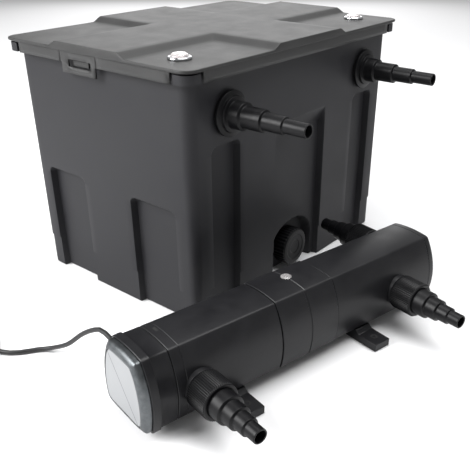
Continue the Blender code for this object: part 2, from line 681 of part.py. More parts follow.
def make_foams(left, right):
    width = (right - left - 2 * CLEAR) / 3
    low = GRID_Z + GRID_THICK + CLEAR
    for i, (name, mat) in enumerate((("foam_coarse", FOAM_BLUE), ("foam_medium", FOAM_GREEN),
                                     ("foam_fine", FOAM_BLACK))):
        x = left + i * (width + CLEAR)
        boxes(name, [((x, -FILL_HALF_Y, low), (x + width, FILL_HALF_Y, FOAM_TOP))], mat)


def make_bag(name, low, high):
    """A filled net bag: a block with well-rounded edges."""
    left = PARTITION_OUT_X + PARTITION_THICK / 2 + CLEAR
    bag = boxes(name, [((left, -BAG_HALF_Y, low), (BAG_RIGHT, BAG_HALF_Y, high))], NET)
    bevel = bag.modifiers.new("rounding", "BEVEL")
    bevel.width = 0.022
    bevel.segments = 3


def make_elbow():
    """Bent pipe that leads the inflow down, pushed up to the inlet tail."""
    end = -(WALL_FACE - TAIL_INSIDE - CLEAR)
    bend = 0.030
    corner = end + 0.012 + bend
    turn = arc(corner - bend, TAIL_Z - bend, bend, bend, 90, 0, 4)
    middle = [(-TAIL_X, y, z) for y, z in turn]
    elbow = pipe("inlet_elbow", [(-TAIL_X, end, TAIL_Z), *middle, (-TAIL_X, corner, TAIL_Z - 0.120)],
                 SPIGOT_RADIUS, INNER)
    bore = pipe("elbow_bore", [(-TAIL_X, end - 0.01, TAIL_Z), *middle, (-TAIL_X, corner, TAIL_Z - 0.130)],
                SPIGOT_RADIUS - 0.0035, None, math.radians(15))
    boolean(elbow, bore)


def make_strainer():
    """Slotted pipe in front of the outlet."""
    start = WALL_FACE - TAIL_INSIDE - CLEAR
    length = 0.090
    inner = SPIGOT_RADIUS - 0.0035
    profile = [(inner, 0.0), (SPIGOT_RADIUS, 0.0), (SPIGOT_RADIUS, length), (inner, length)]
    tube = turned("outlet_strainer", profile, INNER, (TAIL_X, -start, TAIL_Z), BACK, sides=16)
    slots = []
    for i in range(4):
        y = -start + 0.014 + 0.018 * i
        slots.append(((TAIL_X - 0.03, y, TAIL_Z - 0.011), (TAIL_X + 0.03, y + 0.007, TAIL_Z + 0.011)))
    boolean(tube, boxes("strainer_slots", slots, None))


# ---------------------------------------------------------------- UV clarifier
def section_outline(grow):
    """Cross-section in (y, z) about the axis: four bulged sides that meet in ridges."""
    corners = [(UV_TOP_HALF, UV_TOP_Z), (-UV_TOP_HALF, UV_TOP_Z),
               (-UV_LOW_HALF, UV_LOW_Z), (UV_LOW_HALF, UV_LOW_Z)]
    middle = Vector((0.0, UV_AXIS_Z))
    outline = []
    for i in range(4):
        a = Vector(corners[i])
        chord = Vector(corners[(i + 1) % 4]) - a
        out = Vector((chord.y, -chord.x)).normalized()
        if out.dot(a - middle) < 0:
            out = -out
        for k in range(UV_SIDE_STEPS[i]):
            t = k / UV_SIDE_STEPS[i]
            outline.append(a + chord * t + out * UV_BULGES[i] * 4 * t * (1 - t))
    if not grow:
        return outline
    moved = []
    for k, point in enumerate(outline):
        before = (point - outline[k - 1]).normalized()
        after = (outline[(k + 1) % len(outline)] - point).normalized()
        normal = Vector((before.y + after.y, -before.x - after.x)).normalized()
        if normal.dot(point - middle) < 0:
            normal = -normal
        lean = max(0.6, abs(normal.dot(Vector((before.y, -before.x)))))
        moved.append(point + normal * grow / lean)
    return moved


def section(along, grow=0.0):
    """The clarifier's cross-section at a distance along it, grown or shrunk."""
    return [(along, point.x - UV_FRONT, point.y) for point in section_outline(grow)]


def section_circle(along, radius):
    """A circle about the clarifier's axis with the same point count as its cross-section."""
    ring = []
    for point in section_outline(0.0):
        spoke = (point - Vector((0.0, UV_AXIS_Z))).normalized() * radius
        ring.append((along, spoke.x - UV_FRONT, spoke.y + UV_AXIS_Z))
    return ring


def uv_loft(name, rings, mat, hollow=False):
    return loft(name, rings, mat, parent=uv_frame, hollow=hollow)


def uv_turned(name, profile, mat, along, towards=ALONG, height=UV_AXIS_Z, sides=SEGMENTS, solid=False):
    """A turned piece of the clarifier, from its middle plane."""
    return turned(name, profile, mat, (along, -UV_FRONT, height), towards, uv_frame, sides, solid)


PORTS = {
    "inlet": (UV_PORT_IN, UV_PORT_Z, FRONT),
    "outlet": (UV_PORT_OUT, UV_PORT_Z, FRONT),
    "return": (UV_PORT_BACK, UV_PORT_BACK_Z, BACK),
}


def add_stub(housing, name):
    """Stub of a union on a housing, with its through hole."""
    along, height, towards = PORTS[name]
    profile = [(0.0240, 0.036), (0.0240, 0.0550), (STUB_RADIUS, 0.0560), (STUB_RADIUS, 0.0780)]
    boolean(housing, uv_turned(name + "_stub", profile, None, along, towards, height, solid=True), "UNION")
    spot = (along, -UV_FRONT, height)
    boolean(housing, rod(name + "_bore", 0.0165, 0.030, 0.090, None, spot, towards, uv_frame))


def make_union(name):
    """Union nut on its stub and the stepped hose tail that it clamps."""
    along, height, towards = PORTS[name]
    bore = STUB_RADIUS + 0.0004
    lip = HOSE_40 + 0.0006
    length = UNION_END - UNION_START
    rows = [
        (bore, 0.0, 0.0), (0.0250, 0.0, 0.0), (0.0254, 0.0030, 0.0014), (0.0254, length - 0.0030, 0.0014),
        (0.0245, length, 0.0), (lip, length, 0.0), (lip, length - 0.0040, 0.0), (bore, length - 0.0043, 0.0),
    ]
    direction = 1 if towards == BACK else -1
    place_y = -UV_FRONT + direction * UNION_START
    ribbed(f"union_nut_{name}", rows, FITTING, (along, place_y, height), towards, uv_frame, ribs=16)
    flange = 0.0783
    profile = [
        (0.0160, flange), (STUB_RADIUS, flange), (STUB_RADIUS, UNION_END - 0.0048),
        (0.0202, UNION_END - 0.0046),
        (HOSE_40, 0.1120), (HOSE_32, 0.1130), (HOSE_32, 0.1300), (HOSE_25, 0.1310), (HOSE_25, 0.1480),
        (HOSE_20, 0.1490), (HOSE_20, TAIL_END), (TAIL_BORE, TAIL_END), (TAIL_BORE, 0.1460), (0.0130, 0.1240),
    ]
    uv_turned(f"hose_tail_{name}", profile, FITTING, along, towards, height)


HEAD_END = UV_SEAM - 0.0004          # head and housing stand 0.8 mm apart at the seam
HOUSING_START = UV_SEAM + 0.0004
BULKHEAD = HEAD_END - 0.004


def make_lamp_head():
    rings = [
        section(HEAD_END), section(UV_LEFT + 0.012), section(UV_LEFT + 0.0115, 0.0022),
        section(UV_LEFT, 0.0022),
        section(UV_LEFT, -0.0020), section(BULKHEAD, -UV_WALL), section_circle(BULKHEAD, 0.0264),
        section_circle(HEAD_END, 0.0264),
    ]
    head = uv_loft("lamp_head", rings, UV_PLASTIC, hollow=True)
    spot = (GLAND_ALONG, -UV_FRONT, GLAND_Z)
    boolean(head, rod("gland_boss", 0.0125, 0.0440, GLAND_SEAT, None, spot, BACK, uv_frame), "UNION")
    boolean(head, rod("gland_hole", 0.0082, 0.030, 0.070, None, spot, BACK, uv_frame, sides=16))


def make_gland():
    """Cable gland: neck through the boss, flange, and a tapered nose round the cord."""
    wide = GLAND_SEAT + CLEAR
    bore = CORD_RADIUS + CLEAR
    profile = [
        (bore, 0.0400), (0.0078, 0.0400), (0.0078, wide), (0.0115, wide), (0.0115, wide + 0.005),
        (0.0100, wide + 0.006), (0.0100, wide + 0.014), (0.0070, wide + 0.018), (bore, wide + 0.018),
    ]
    uv_turned("cable_gland", profile, FITTING, GLAND_ALONG, BACK, GLAND_Z)


def make_end_face():
    rim = UV_LEFT - CLEAR
    bezel = [
        section(rim, -0.0006), section(rim - 0.0050, -0.0006), section(rim - 0.0090, -0.0035),
        section(rim - 0.0112, -0.0090), section(rim - 0.0090, -0.0100),
    ]
    uv_loft("end_bezel", bezel, SILVER)
    badge = rim - 0.0090 - CLEAR
    plate = [section(badge, -0.0105), section(badge - 0.0014, -0.0105), section(badge - 0.0018, -0.0112)]
    uv_loft("badge_plate", plate, BADGE)


def make_housings():
    wall = 0.0055
    middle = (UV_COLLAR_LEFT + UV_COLLAR_RIGHT) / 2
    half_gap = 0.0030
    left = UV_COLLAR_LEFT - 0.0005
    front = uv_loft("housing_front", [
        section(HOUSING_START), section(left), section(left, -UV_SPIGOT),
        section(middle - half_gap, -UV_SPIGOT),
        section(middle - half_gap, -wall), section(HOUSING_START, -wall),
    ], UV_PLASTIC, hollow=True)
    add_stub(front, "inlet")
    catch = ((-0.3500, -UV_FRONT - 0.0030, UV_TOP_Z + 0.0015),
             (-0.3462, -UV_FRONT + 0.0150, UV_TOP_Z + 0.0060))
    boolean(front, boxes("head_catch_pocket", [catch], None, uv_frame))
    right = UV_COLLAR_RIGHT + 0.0005
    end = UV_RIGHT + 0.003
    rear = uv_loft("housing_rear", [
        section(middle + half_gap, -UV_SPIGOT), section(right, -UV_SPIGOT), section(right),
        section(UV_RIGHT - 0.003), section(UV_RIGHT, -0.003), section_circle(end, 0.0200),
        section_circle(end, 0.0132), section_circle(UV_RIGHT - 0.003, 0.0132),
        section(UV_RIGHT - 0.006, -0.0060), section(middle + half_gap, -wall),
    ], UV_PLASTIC, hollow=True)
    add_stub(rear, "outlet")
    add_stub(rear, "return")
    proud = 0.0012
    collar = uv_loft("coupling_collar", [
        section(UV_COLLAR_LEFT + CLEAR, proud), section(middle - 0.0016, proud),
        section(middle - 0.0010, 0.0002), section(middle + 0.0010, 0.0002),
        section(middle + 0.0016, proud), section(UV_COLLAR_RIGHT - CLEAR, proud),
        section(UV_COLLAR_RIGHT - CLEAR, -0.0016), section(UV_COLLAR_LEFT + CLEAR, -0.0016),
    ], UV_PLASTIC, hollow=True)
    spot = (SIGHT_PORT[0], -SIGHT_PORT[1], UV_AXIS_Z)
    boolean(collar, rod("sight_port_hole", 0.0083, 0.040, 0.060, None, spot, parent=uv_frame))
    top = UV_TOP_Z + UV_BULGES[0] - UV_AXIS_Z
    lens = [(0.0079, top - 0.0012), (0.0079, top + 0.0016), (0.0055, top + 0.0028)]
    turned("sight_port_lens", lens, CLEAR_PLASTIC, spot, parent=uv_frame, solid=True)
    uv_loft("housing_seal", [
        section(middle - 0.0026, -UV_SPIGOT), section(middle + 0.0026, -UV_SPIGOT),
        section(middle + 0.0026, -0.0050), section(middle - 0.0026, -0.0050),
    ], SEAL, hollow=True)
    plug = end + CLEAR
    uv_turned("end_plug", [(0.0121, -0.010), (0.0121, 0.0), (0.0165, 0.0), (0.0165, 0.007), (0.0140, 0.009)],
              FITTING, plug, solid=True)


def make_foot(name, along):
    """Flat mounting bar under the tube, with a screw hole at each end and a saddle up to the body."""
    under = UV_LOW_Z - CLEAR
    side = [
        (FOOT_REACH, 0.0), (FOOT_REACH, FOOT_THICK - 0.0005), (0.054, FOOT_THICK),
        (UV_LOW_HALF + 0.004, 0.0150),
        (UV_LOW_HALF + 0.0015, under - 0.0004), (UV_LOW_HALF - 0.0040, under - 0.0010),
        (0.030, UV_LOW_Z - 0.0022), (0.015, UV_LOW_Z - 0.0032),
    ]
    outline = side + [(0.0, UV_LOW_Z - 0.0036)] + [(-y, z) for y, z in reversed(side)]
    foot = extruded(f"foot_{name}", outline, 2 * FOOT_HALF, UV_PLASTIC, (along - FOOT_HALF, -UV_FRONT, 0.0),
                    STAND_ALONG_X, uv_frame)
    for sign in (-1, 1):
        spot = (along, sign * FOOT_HOLE_OUT - UV_FRONT, 0.0)
        hole = rod(f"foot_{name}_hole_{sign}", 0.0028, -0.01, 0.03, None, spot, parent=uv_frame, sides=12)
        boolean(foot, hole)


def make_lamp():
    """Ballast, lamp holder, twin-tube lamp in its quartz sleeve, and the sleeve's seal and nut."""
    ballast_end = UV_LEFT + 0.0190
    block = ((UV_LEFT + 0.0020, -UV_FRONT - 0.026, 0.0205), (ballast_end, -UV_FRONT + 0.026, 0.0770))
    boxes("ballast", [block], INNER, uv_frame)
    holder_end = -0.3530
    rod("lamp_holder", 0.0200, 0.0, holder_end - ballast_end - CLEAR, LAMP_BASE,
        (ballast_end + CLEAR, -UV_FRONT, UV_AXIS_Z), ALONG, uv_frame)
    tip = 0.062
    inner = SLEEVE_RADIUS - 0.0020
    sleeve = [(inner, BULKHEAD - 0.0020), (SLEEVE_RADIUS, BULKHEAD - 0.0020)]
    sleeve += [(r, h) for r, h in arc(0.0, tip, SLEEVE_RADIUS, SLEEVE_RADIUS, 0, 70, 2)]
    sleeve += [(0.0, tip + SLEEVE_RADIUS), (0.0, tip + inner)]
    sleeve += [(r, h) for r, h in arc(0.0, tip, inner, inner, 70, 0, 2)]
    uv_turned("quartz_sleeve", sleeve, QUARTZ, 0.0)
    seal = arc(0.0240, 0.0, 0.0011, 0.0011, 300, 0, 5)
    uv_turned("sleeve_seal", reversed(seal), SEAL, HEAD_END - 0.002)
    bore = SLEEVE_RADIUS + 0.0004
    nut = 0.0090
    rows = [(0.0300, 0.0, 0.0015), (0.0300, nut, 0.0015), (bore, nut, 0.0), (bore, 0.0, 0.0)]
    ribbed("sleeve_nut", rows, INNER, (HEAD_END + CLEAR, -UV_FRONT, UV_AXIS_Z), ALONG, uv_frame)
    base = holder_end + CLEAR
    lamp = boxes("uv_lamp", [((base, -UV_FRONT - 0.0165, UV_AXIS_Z - 0.0100),
                              (base + 0.023, -UV_FRONT + 0.0165, UV_AXIS_Z + 0.0100))], LAMP_GLASS, uv_frame)
    for sign in (-1, 1):
        profile = [(0.0078, 0.010), (0.0078, LAMP_LENGTH - 0.002), (0.0050, LAMP_LENGTH)]
        spot = (base, -UV_FRONT + sign * 0.0105, UV_AXIS_Z)
        tube = turned(f"lamp_tube_{sign}", profile, None, spot, ALONG, uv_frame, solid=True)
        boolean(lamp, tube, "UNION")
    bridge = ((base + 0.395, -UV_FRONT - 0.0080, UV_AXIS_Z - 0.0040),
              (base + 0.403, -UV_FRONT + 0.0080, UV_AXIS_Z + 0.0040))
    boolean(lamp, boxes("lamp_bridge", [bridge], None, uv_frame), "UNION")


# ---------------------------------------------------------------- power cord
def cord_route():
    """Smooth centreline: out of the gland, down behind the lamp head, along the floor to the coil."""
    turn = Matrix.Rotation(UV_TURN, 3, "Z")
    start = turn @ Vector((GLAND_ALONG, -UV_FRONT + GLAND_SEAT + CLEAR + 0.0143, GLAND_Z))
    straight = start + turn @ Vector((0.0, 0.012, 0.0))
    floor = CORD_RADIUS + CLEAR
    coil_x, coil_y = COIL_CENTRE
    rise = BUNDLE_RADIUS + TIE_THICK + CLEAR - CORD_RADIUS
    touch = COIL_RADIUS + math.sqrt((BUNDLE_RADIUS + CORD_RADIUS + CLEAR) ** 2 - rise ** 2) + CLEAR
    knots = [
        start, straight, Vector((-0.4235, -0.1620, 0.0800)), Vector((-0.4270, -0.1300, 0.0620)),
        Vector((-0.4305, -0.0935, 0.0300)), Vector((-0.4335, -0.0550, 0.0075)),
        Vector((-0.4460, -0.0370, floor)), Vector((-0.4665, -0.0225, floor)), Vector((-0.4850, 0.0000, floor)),
    ]
    for angle in (-28, 0, 22):
        knots.append(Vector((coil_x + touch * math.cos(math.radians(angle)),
                             coil_y + touch * math.sin(math.radians(angle)), floor)))
    route = []
    for i in range(len(knots) - 1):
        p0 = knots[max(i - 1, 0)]
        p1 = knots[i]
        p2 = knots[i + 1]
        p3 = knots[min(i + 2, len(knots) - 1)]
        pieces = max(2, round((p2 - p1).length / (4.4 * CORD_RADIUS)))
        for k in range(pieces):
            t = k / pieces
            point = 0.5 * ((2 * p1) + (p2 - p0) * t + (2 * p0 - 5 * p1 + 4 * p2 - p3) * t * t
                           + (3 * p1 - p0 - 3 * p2 + p3) * t * t * t)
            point.z = max(point.z, floor)
            route.append(point)
    route.append(knots[-1])
    return route


def make_cord():
    route = cord_route()
    curve = bpy.data.curves.new("power_cable", "CURVE")
    curve.dimensions = "3D"
    curve.bevel_depth = CORD_RADIUS
    curve.bevel_resolution = 2
    curve.use_fill_caps = True
    spline = curve.splines.new("POLY")
    spline.points.add(len(route) - 1)
    for point, spot in zip(spline.points, route):
        point.co = (*spot, 1.0)
    place(bpy.data.objects.new("power_cable", curve), CORD)

    centre_z = BUNDLE_RADIUS + TIE_THICK + 2 * CLEAR
    bundle = list(reversed(arc(COIL_RADIUS, 0.0, BUNDLE_RADIUS, BUNDLE_RADIUS, 324, 0, 9)))
    turned("cable_coil", bundle, CORD, (*COIL_CENTRE, centre_z), sides=28)
    inner = BUNDLE_RADIUS + CLEAR
    outer = inner + TIE_THICK
    half = 0.0022
    turned("cable_tie", [(inner, -half), (outer, -half), (outer, half), (inner, half)], CORD,
           (COIL_CENTRE[0] - COIL_RADIUS, COIL_CENTRE[1], centre_z), BACK, sides=28)

    plug_start = COIL_CENTRE[1] + COIL_RADIUS + BUNDLE_RADIUS + 2 * CLEAR
    plug_z = PLUG_RADIUS + CLEAR
    profile = [(0.0048, 0.0), (0.0052, 0.003), (0.0075, 0.024), (0.0130, 0.028), (0.0190, 0.038),
               (PLUG_RADIUS, 0.052), (PLUG_RADIUS, 0.062)]
    plug = turned("mains_plug", profile, PLUG, (COIL_CENTRE[0], plug_start, plug_z), BACK, solid=True)
    for sign in (-1, 1):
        spot = (COIL_CENTRE[0] + sign * 0.0095, plug_start, plug_z)
        pin = [(0.0024, 0.058), (0.0024, 0.080), (0.0014, 0.081)]
        boolean(plug, turned(f"plug_pin_{sign}", pin, None, spot, BACK, sides=12, solid=True), "UNION")


# ---------------------------------------------------------------- build
make_tub()
make_lid()
make_sight("near", -1)
make_sight("far", 1)
make_sight_inserts()
make_bulkhead("inlet", -TAIL_X)
make_bulkhead("outlet", TAIL_X)
make_drain()
make_partition("partition_inlet", PARTITION_IN_X, 0.012, 0.060)
make_partition("partition_outlet", PARTITION_OUT_X, 0.300, 0.345)
FILL_LEFT = PARTITION_IN_X + PARTITION_THICK / 2 + CLEAR
FILL_RIGHT = PARTITION_OUT_X - PARTITION_THICK / 2 - CLEAR
make_grid(FILL_LEFT, FILL_RIGHT)
make_foams(FILL_LEFT, FILL_RIGHT)
make_bag("media_bag_lower", TUB_FLOOR + CLEAR, BAG_SPLIT)
make_bag("media_bag_upper", BAG_SPLIT + CLEAR, BAG_TOP)
make_elbow()
make_strainer()

make_lamp_head()
make_gland()
make_end_face()
make_housings()
for side, position in FOOT_ALONG.items():
    make_foot(side, position)
make_lamp()
for port in PORTS:
    make_union(port)
make_cord()
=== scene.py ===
import json
import math
import bmesh
import bpy
import numpy as np
from mathutils import Matrix, Vector


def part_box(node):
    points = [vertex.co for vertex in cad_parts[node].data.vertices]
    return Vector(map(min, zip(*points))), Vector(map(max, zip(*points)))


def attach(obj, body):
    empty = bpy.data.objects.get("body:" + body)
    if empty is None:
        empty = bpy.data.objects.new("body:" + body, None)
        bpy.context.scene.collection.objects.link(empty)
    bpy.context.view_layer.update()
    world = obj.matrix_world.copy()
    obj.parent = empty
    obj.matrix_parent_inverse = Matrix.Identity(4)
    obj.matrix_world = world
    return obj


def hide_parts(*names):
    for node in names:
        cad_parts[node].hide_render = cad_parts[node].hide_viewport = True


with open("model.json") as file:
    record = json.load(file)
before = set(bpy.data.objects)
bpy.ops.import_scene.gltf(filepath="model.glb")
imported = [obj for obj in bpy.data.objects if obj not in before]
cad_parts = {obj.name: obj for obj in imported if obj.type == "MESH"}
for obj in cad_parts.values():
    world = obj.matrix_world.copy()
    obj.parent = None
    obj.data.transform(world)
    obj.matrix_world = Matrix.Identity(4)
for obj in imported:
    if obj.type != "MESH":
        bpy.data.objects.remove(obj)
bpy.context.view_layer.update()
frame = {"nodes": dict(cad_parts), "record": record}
nodes = frame["nodes"]
print("frame loaded:", len(nodes), "nodes")

# ---- camera: one long-lens view from the front left, a little above the lid
view = {
    "place": (-0.8789, -0.7956, 0.5910),
    "forward": (0.69272, 0.55870, -0.45606),
    "right": (0.6277, -0.7784, 0.0),
    "lens": 51.78,
    "sensor": 36.0,
    "shift": (-0.0419, 0.0232),
}
cameraData = bpy.data.cameras.new("camera")
cameraData.lens = view["lens"]
cameraData.sensor_width = view["sensor"]
cameraData.shift_x, cameraData.shift_y = view["shift"]
camera = bpy.data.objects.new("camera", cameraData)
forward = Vector(view["forward"]).normalized()
right = Vector(view["right"]).normalized()
up = right.cross(forward)
turnedView = Matrix((right, up, -forward)).transposed().to_4x4()
camera.matrix_world = Matrix.Translation(view["place"]) @ turnedView
bpy.context.scene.collection.objects.link(camera)
bpy.context.scene.camera = camera
bpy.context.scene.view_settings.view_transform = "Standard"


# ---- materials
def hexColour(code):
    # sRGB to linear: c / 12.92 near black, else ((c + 0.055) / 1.055) to the power 2.4
    srgb = np.array([int(code[i:i + 2], 16) for i in (1, 3, 5)]) / 255.0
    linear = np.where(srgb <= 0.04045, srgb / 12.92, ((srgb + 0.055) / 1.055) ** 2.4)
    return (*linear.tolist(), 1.0)


def addNode(tree, kind, settings=None, links=()):
    # settings go to the node's own properties or its sockets; links are (socket, source socket)
    node = tree.nodes.new("ShaderNode" + kind)
    for key, value in (settings or {}).items():
        if key in node.inputs:
            node.inputs[key].default_value = value
        else:
            setattr(node, key, value)
    for socket, source in links:
        tree.links.new(source, node.inputs[socket])
    return node


def newMaterial(name, settings):
    made = bpy.data.materials.new(name)
    made.use_nodes = True
    tree = made.node_tree
    shader = tree.nodes["Principled BSDF"]
    for key, value in settings.items():
        shader.inputs[key].default_value = value
    coords = addNode(tree, "TexCoord")
    return made, tree, shader, coords.outputs["Object"]


def perMetre(mm):
    # how many cells of that size fit in a metre
    return 1000.0 / mm


def addRamp(tree, source, colours, ends=(0.0, 1.0)):
    # source value to colour: the first colour up to the first end, the second from the other end on
    ramp = addNode(tree, "ValToRGB", links=[("Fac", source)])
    for element, colour, end in zip(ramp.color_ramp.elements, colours, ends):
        element.position = end
        element.color = hexColour(colour)
    return ramp.outputs["Color"]


def grainedSurface(name, look):
    # broad mottle in the colour and the gloss, with a fine grain in the surface
    made, tree, shader, coords = newMaterial(name, look.get("shader", {}))
    low, high = 0.30, 0.70
    mottle = addNode(tree, "TexNoise", {
        "Scale": perMetre(look["mottleMm"]), "Detail": 4.0, "Roughness": 0.6}, [("Vector", coords)])
    colour = addRamp(tree, mottle.outputs["Fac"], (look["dark"], look["light"]), (low, high))
    tree.links.new(colour, shader.inputs["Base Color"])
    gloss = addNode(tree, "MapRange", {
        "From Min": low, "From Max": high, "To Min": look["rough"][0], "To Max": look["rough"][1]},
        [("Value", mottle.outputs["Fac"])])
    tree.links.new(gloss.outputs["Result"], shader.inputs["Roughness"])
    grain = addNode(tree, "TexNoise", {"Scale": perMetre(look["grainMm"]), "Detail": 2.0},
                    [("Vector", coords)])
    # the grain stands a quarter of its width high
    bump = addNode(tree, "Bump", {
        "Strength": look["grainStrength"], "Distance": look["grainMm"] / 4000.0},
        [("Height", grain.outputs["Fac"])])
    tree.links.new(bump.outputs["Normal"], shader.inputs["Normal"])
    return made


def clearSurface(name, tint, rough, ior, transmission=1.0):
    # see-through body; the tint is that of a few millimetres of it
    made, tree, shader, coords = newMaterial(name, {"Roughness": rough, "IOR": ior,
                                                    "Transmission Weight": transmission})
    hazeMm = 9.0
    haze = addNode(tree, "TexNoise", {"Scale": perMetre(hazeMm), "Detail": 2.0}, [("Vector", coords)])
    tree.links.new(addRamp(tree, haze.outputs["Fac"], tint), shader.inputs["Base Color"])
    return made


def openCellFoam(name, look):
    # reticulated polyurethane: paler strands between pores painted dark as the shade in the open cells,
    # drawn
    # 2 to 3 mm wide, coarser than real ones, so that they show
    made, tree, shader, coords = newMaterial(name, {"Roughness": 0.95, "Sheen Weight": 0.25})
    pores = addNode(tree, "TexVoronoi", {"Scale": perMetre(look["poreMm"])}, [("Vector", coords)])
    colour = addRamp(tree, pores.outputs["Distance"], (look["pore"], look["strand"]), (0.10, 0.55))
    tree.links.new(colour, shader.inputs["Base Color"])
    bump = addNode(tree, "Bump", {"Strength": 0.8, "Distance": look["poreMm"] / 3000.0},
                   [("Height", pores.outputs["Distance"])])
    tree.links.new(bump.outputs["Normal"], shader.inputs["Normal"])
    return made


def knottedNet(name, look):
    # polyester net over clay rings: a lattice of threads every few millimetres on top of the pale fill
    made, tree, shader, coords = newMaterial(name, {"Roughness": 0.9})
    turned = addNode(tree, "Mapping", {"Rotation": (0.6, 0.5, 0.785)}, [("Vector", coords)])
    threads = addNode(tree, "TexBrick", {
        "Scale": perMetre(look["meshMm"]), "Mortar Size": 0.16, "Brick Width": 1.0, "Row Height": 1.0,
        "Color1": hexColour(look["fill"]), "Color2": hexColour(look["fillDark"]),
        "Mortar": hexColour(look["thread"])}, [("Vector", turned.outputs["Vector"])])
    threads.offset = 0.0
    tree.links.new(threads.outputs["Color"], shader.inputs["Base Color"])
    bump = addNode(tree, "Bump", {"Strength": 0.7, "Distance": 0.0008},
                   [("Height", threads.outputs["Fac"])])
    tree.links.new(bump.outputs["Normal"], shader.inputs["Normal"])
    return made


# rotationally moulded polyethylene tub: satin black with a dusty bloom
tubPlastic = grainedSurface("satinPolyethyleneTub", {
    "dark": "#242427", "light": "#2b2b2d", "rough": (0.46, 0.58), "mottleMm": 60.0, "grainMm": 0.9,
    "grainStrength": 0.18, "shader": {"IOR": 1.30}})
# vacuum-formed ABS lid: a shade lighter, finely grained so that it looks flat grey in light
lidPlastic = grainedSurface("grainedAbsLid", {
    "dark": "#292929", "light": "#333333", "rough": (0.46, 0.56), "mottleMm": 45.0, "grainMm": 1.0,
    "grainStrength": 0.25, "shader": {"IOR": 1.42}})
# injection-moulded polypropylene fittings: black with a soft sheen
fittingPlastic = grainedSurface("glossPolypropyleneFittings", {
    "dark": "#08080a", "light": "#0d0d0f", "rough": (0.36, 0.46), "mottleMm": 20.0, "grainMm": 0.7,
    "grainStrength": 0.08, "shader": {"IOR": 1.30}})
# injection-moulded ABS clarifier body: smooth, near black, soft wide highlights
clarifierPlastic = grainedSurface("smoothAbsClarifier", {
    "dark": "#18181a", "light": "#1f1f21", "rough": (0.32, 0.42), "mottleMm": 35.0, "grainMm": 0.8,
    "grainStrength": 0.10, "shader": {"IOR": 1.32}})
# moulded EPDM seals: matt black; the same material is the painted shade of the head's catch slot and of
# the foot screw holes
sealRubber = grainedSurface("mattEpdmSealsAndHoleShade", {
    "dark": "#131313", "light": "#1b1b1b", "rough": (0.75, 0.90), "mottleMm": 12.0, "grainMm": 0.8,
    "grainStrength": 0.3})
# chromed ABS rings of the sight domes: mirror bright
chromeTrim = grainedSurface("chromedAbsRings", {
    "dark": "#c9cacd", "light": "#e2e3e6", "rough": (0.10, 0.16), "mottleMm": 15.0, "grainMm": 1.0,
    "grainStrength": 0.02, "shader": {"Metallic": 1.0}})
# satin anodised aluminium frame of the clarifier's end: base colour darkened to a frosted mid grey as a
# painted dark reflection; it turns silver in the light
silverTrim = grainedSurface("satinAnodisedAluminiumDarkReflection", {
    "dark": "#505355", "light": "#65686a", "rough": (0.34, 0.44), "mottleMm": 8.0, "grainMm": 0.6,
    "grainStrength": 0.12, "shader": {"Metallic": 1.0}})
# grey polypropylene plates and pipes inside the tub
innerPlastic = grainedSurface("mouldedGreyPolypropylene", {
    "dark": "#3a3d3f", "light": "#4a4d4f", "rough": (0.45, 0.60), "mottleMm": 40.0, "grainMm": 1.0,
    "grainStrength": 0.15})
# glazed ceramic lamp socket: off-white
lampBase = grainedSurface("glazedCeramicSocket", {
    "dark": "#cfcdc6", "light": "#dedcd6", "rough": (0.30, 0.42), "mottleMm": 10.0, "grainMm": 0.8,
    "grainStrength": 0.05})
# float and thermometer discs: matt pale plastic seen through the domes
dialPlastic = grainedSurface("mattPaleDiscs", {
    "dark": "#dcd3d4", "light": "#ece6e6", "rough": (0.40, 0.50), "mottleMm": 6.0, "grainMm": 0.6,
    "grainStrength": 0.05})
# PVC-sheathed mains cord: satin black
cordRubber = grainedSurface("satinPvcCord", {
    "dark": "#111112", "light": "#19191a", "rough": (0.42, 0.55), "mottleMm": 18.0, "grainMm": 0.8,
    "grainStrength": 0.10})
# over-moulded PVC plug
plugPlastic = grainedSurface("mouldedPvcPlug", {
    "dark": "#151516", "light": "#1f1f20", "rough": (0.38, 0.50), "mottleMm": 15.0, "grainMm": 0.8,
    "grainStrength": 0.12})
# nickel-plated brass pins
plugPins = grainedSurface("nickelPlatedPins", {
    "dark": "#b9b4a6", "light": "#cfcabd", "rough": (0.20, 0.30), "mottleMm": 5.0, "grainMm": 0.6,
    "grainStrength": 0.04, "shader": {"Metallic": 1.0}})
clearPlastic = clearSurface("clearAcrylicDome", ("#f3eeee", "#fbf8f8"), 0.06, 1.49, 0.75)
quartzGlass = clearSurface("drawnQuartzTube", ("#f4f8fa", "#ffffff"), 0.02, 1.46)
lampGlass = clearSurface("lampTubeGlass", ("#e9eef4", "#f6f8fb"), 0.12, 1.50, 0.7)
foamBlue = openCellFoam("coarseBlueFoam", {"pore": "#0b2036", "strand": "#2f6ea3", "poreMm": 3.2})
foamGreen = openCellFoam("mediumGreenFoam", {"pore": "#10240f", "strand": "#4b7d46", "poreMm": 2.6})
foamBlack = openCellFoam("fineBlackFoam", {"pore": "#060606", "strand": "#3a3a3b", "poreMm": 2.2})
mediaNet = knottedNet("knottedPolyesterNet", {
    "fill": "#9c8f78", "fillDark": "#85785f", "thread": "#2f2f2f", "meshMm": 5.0})


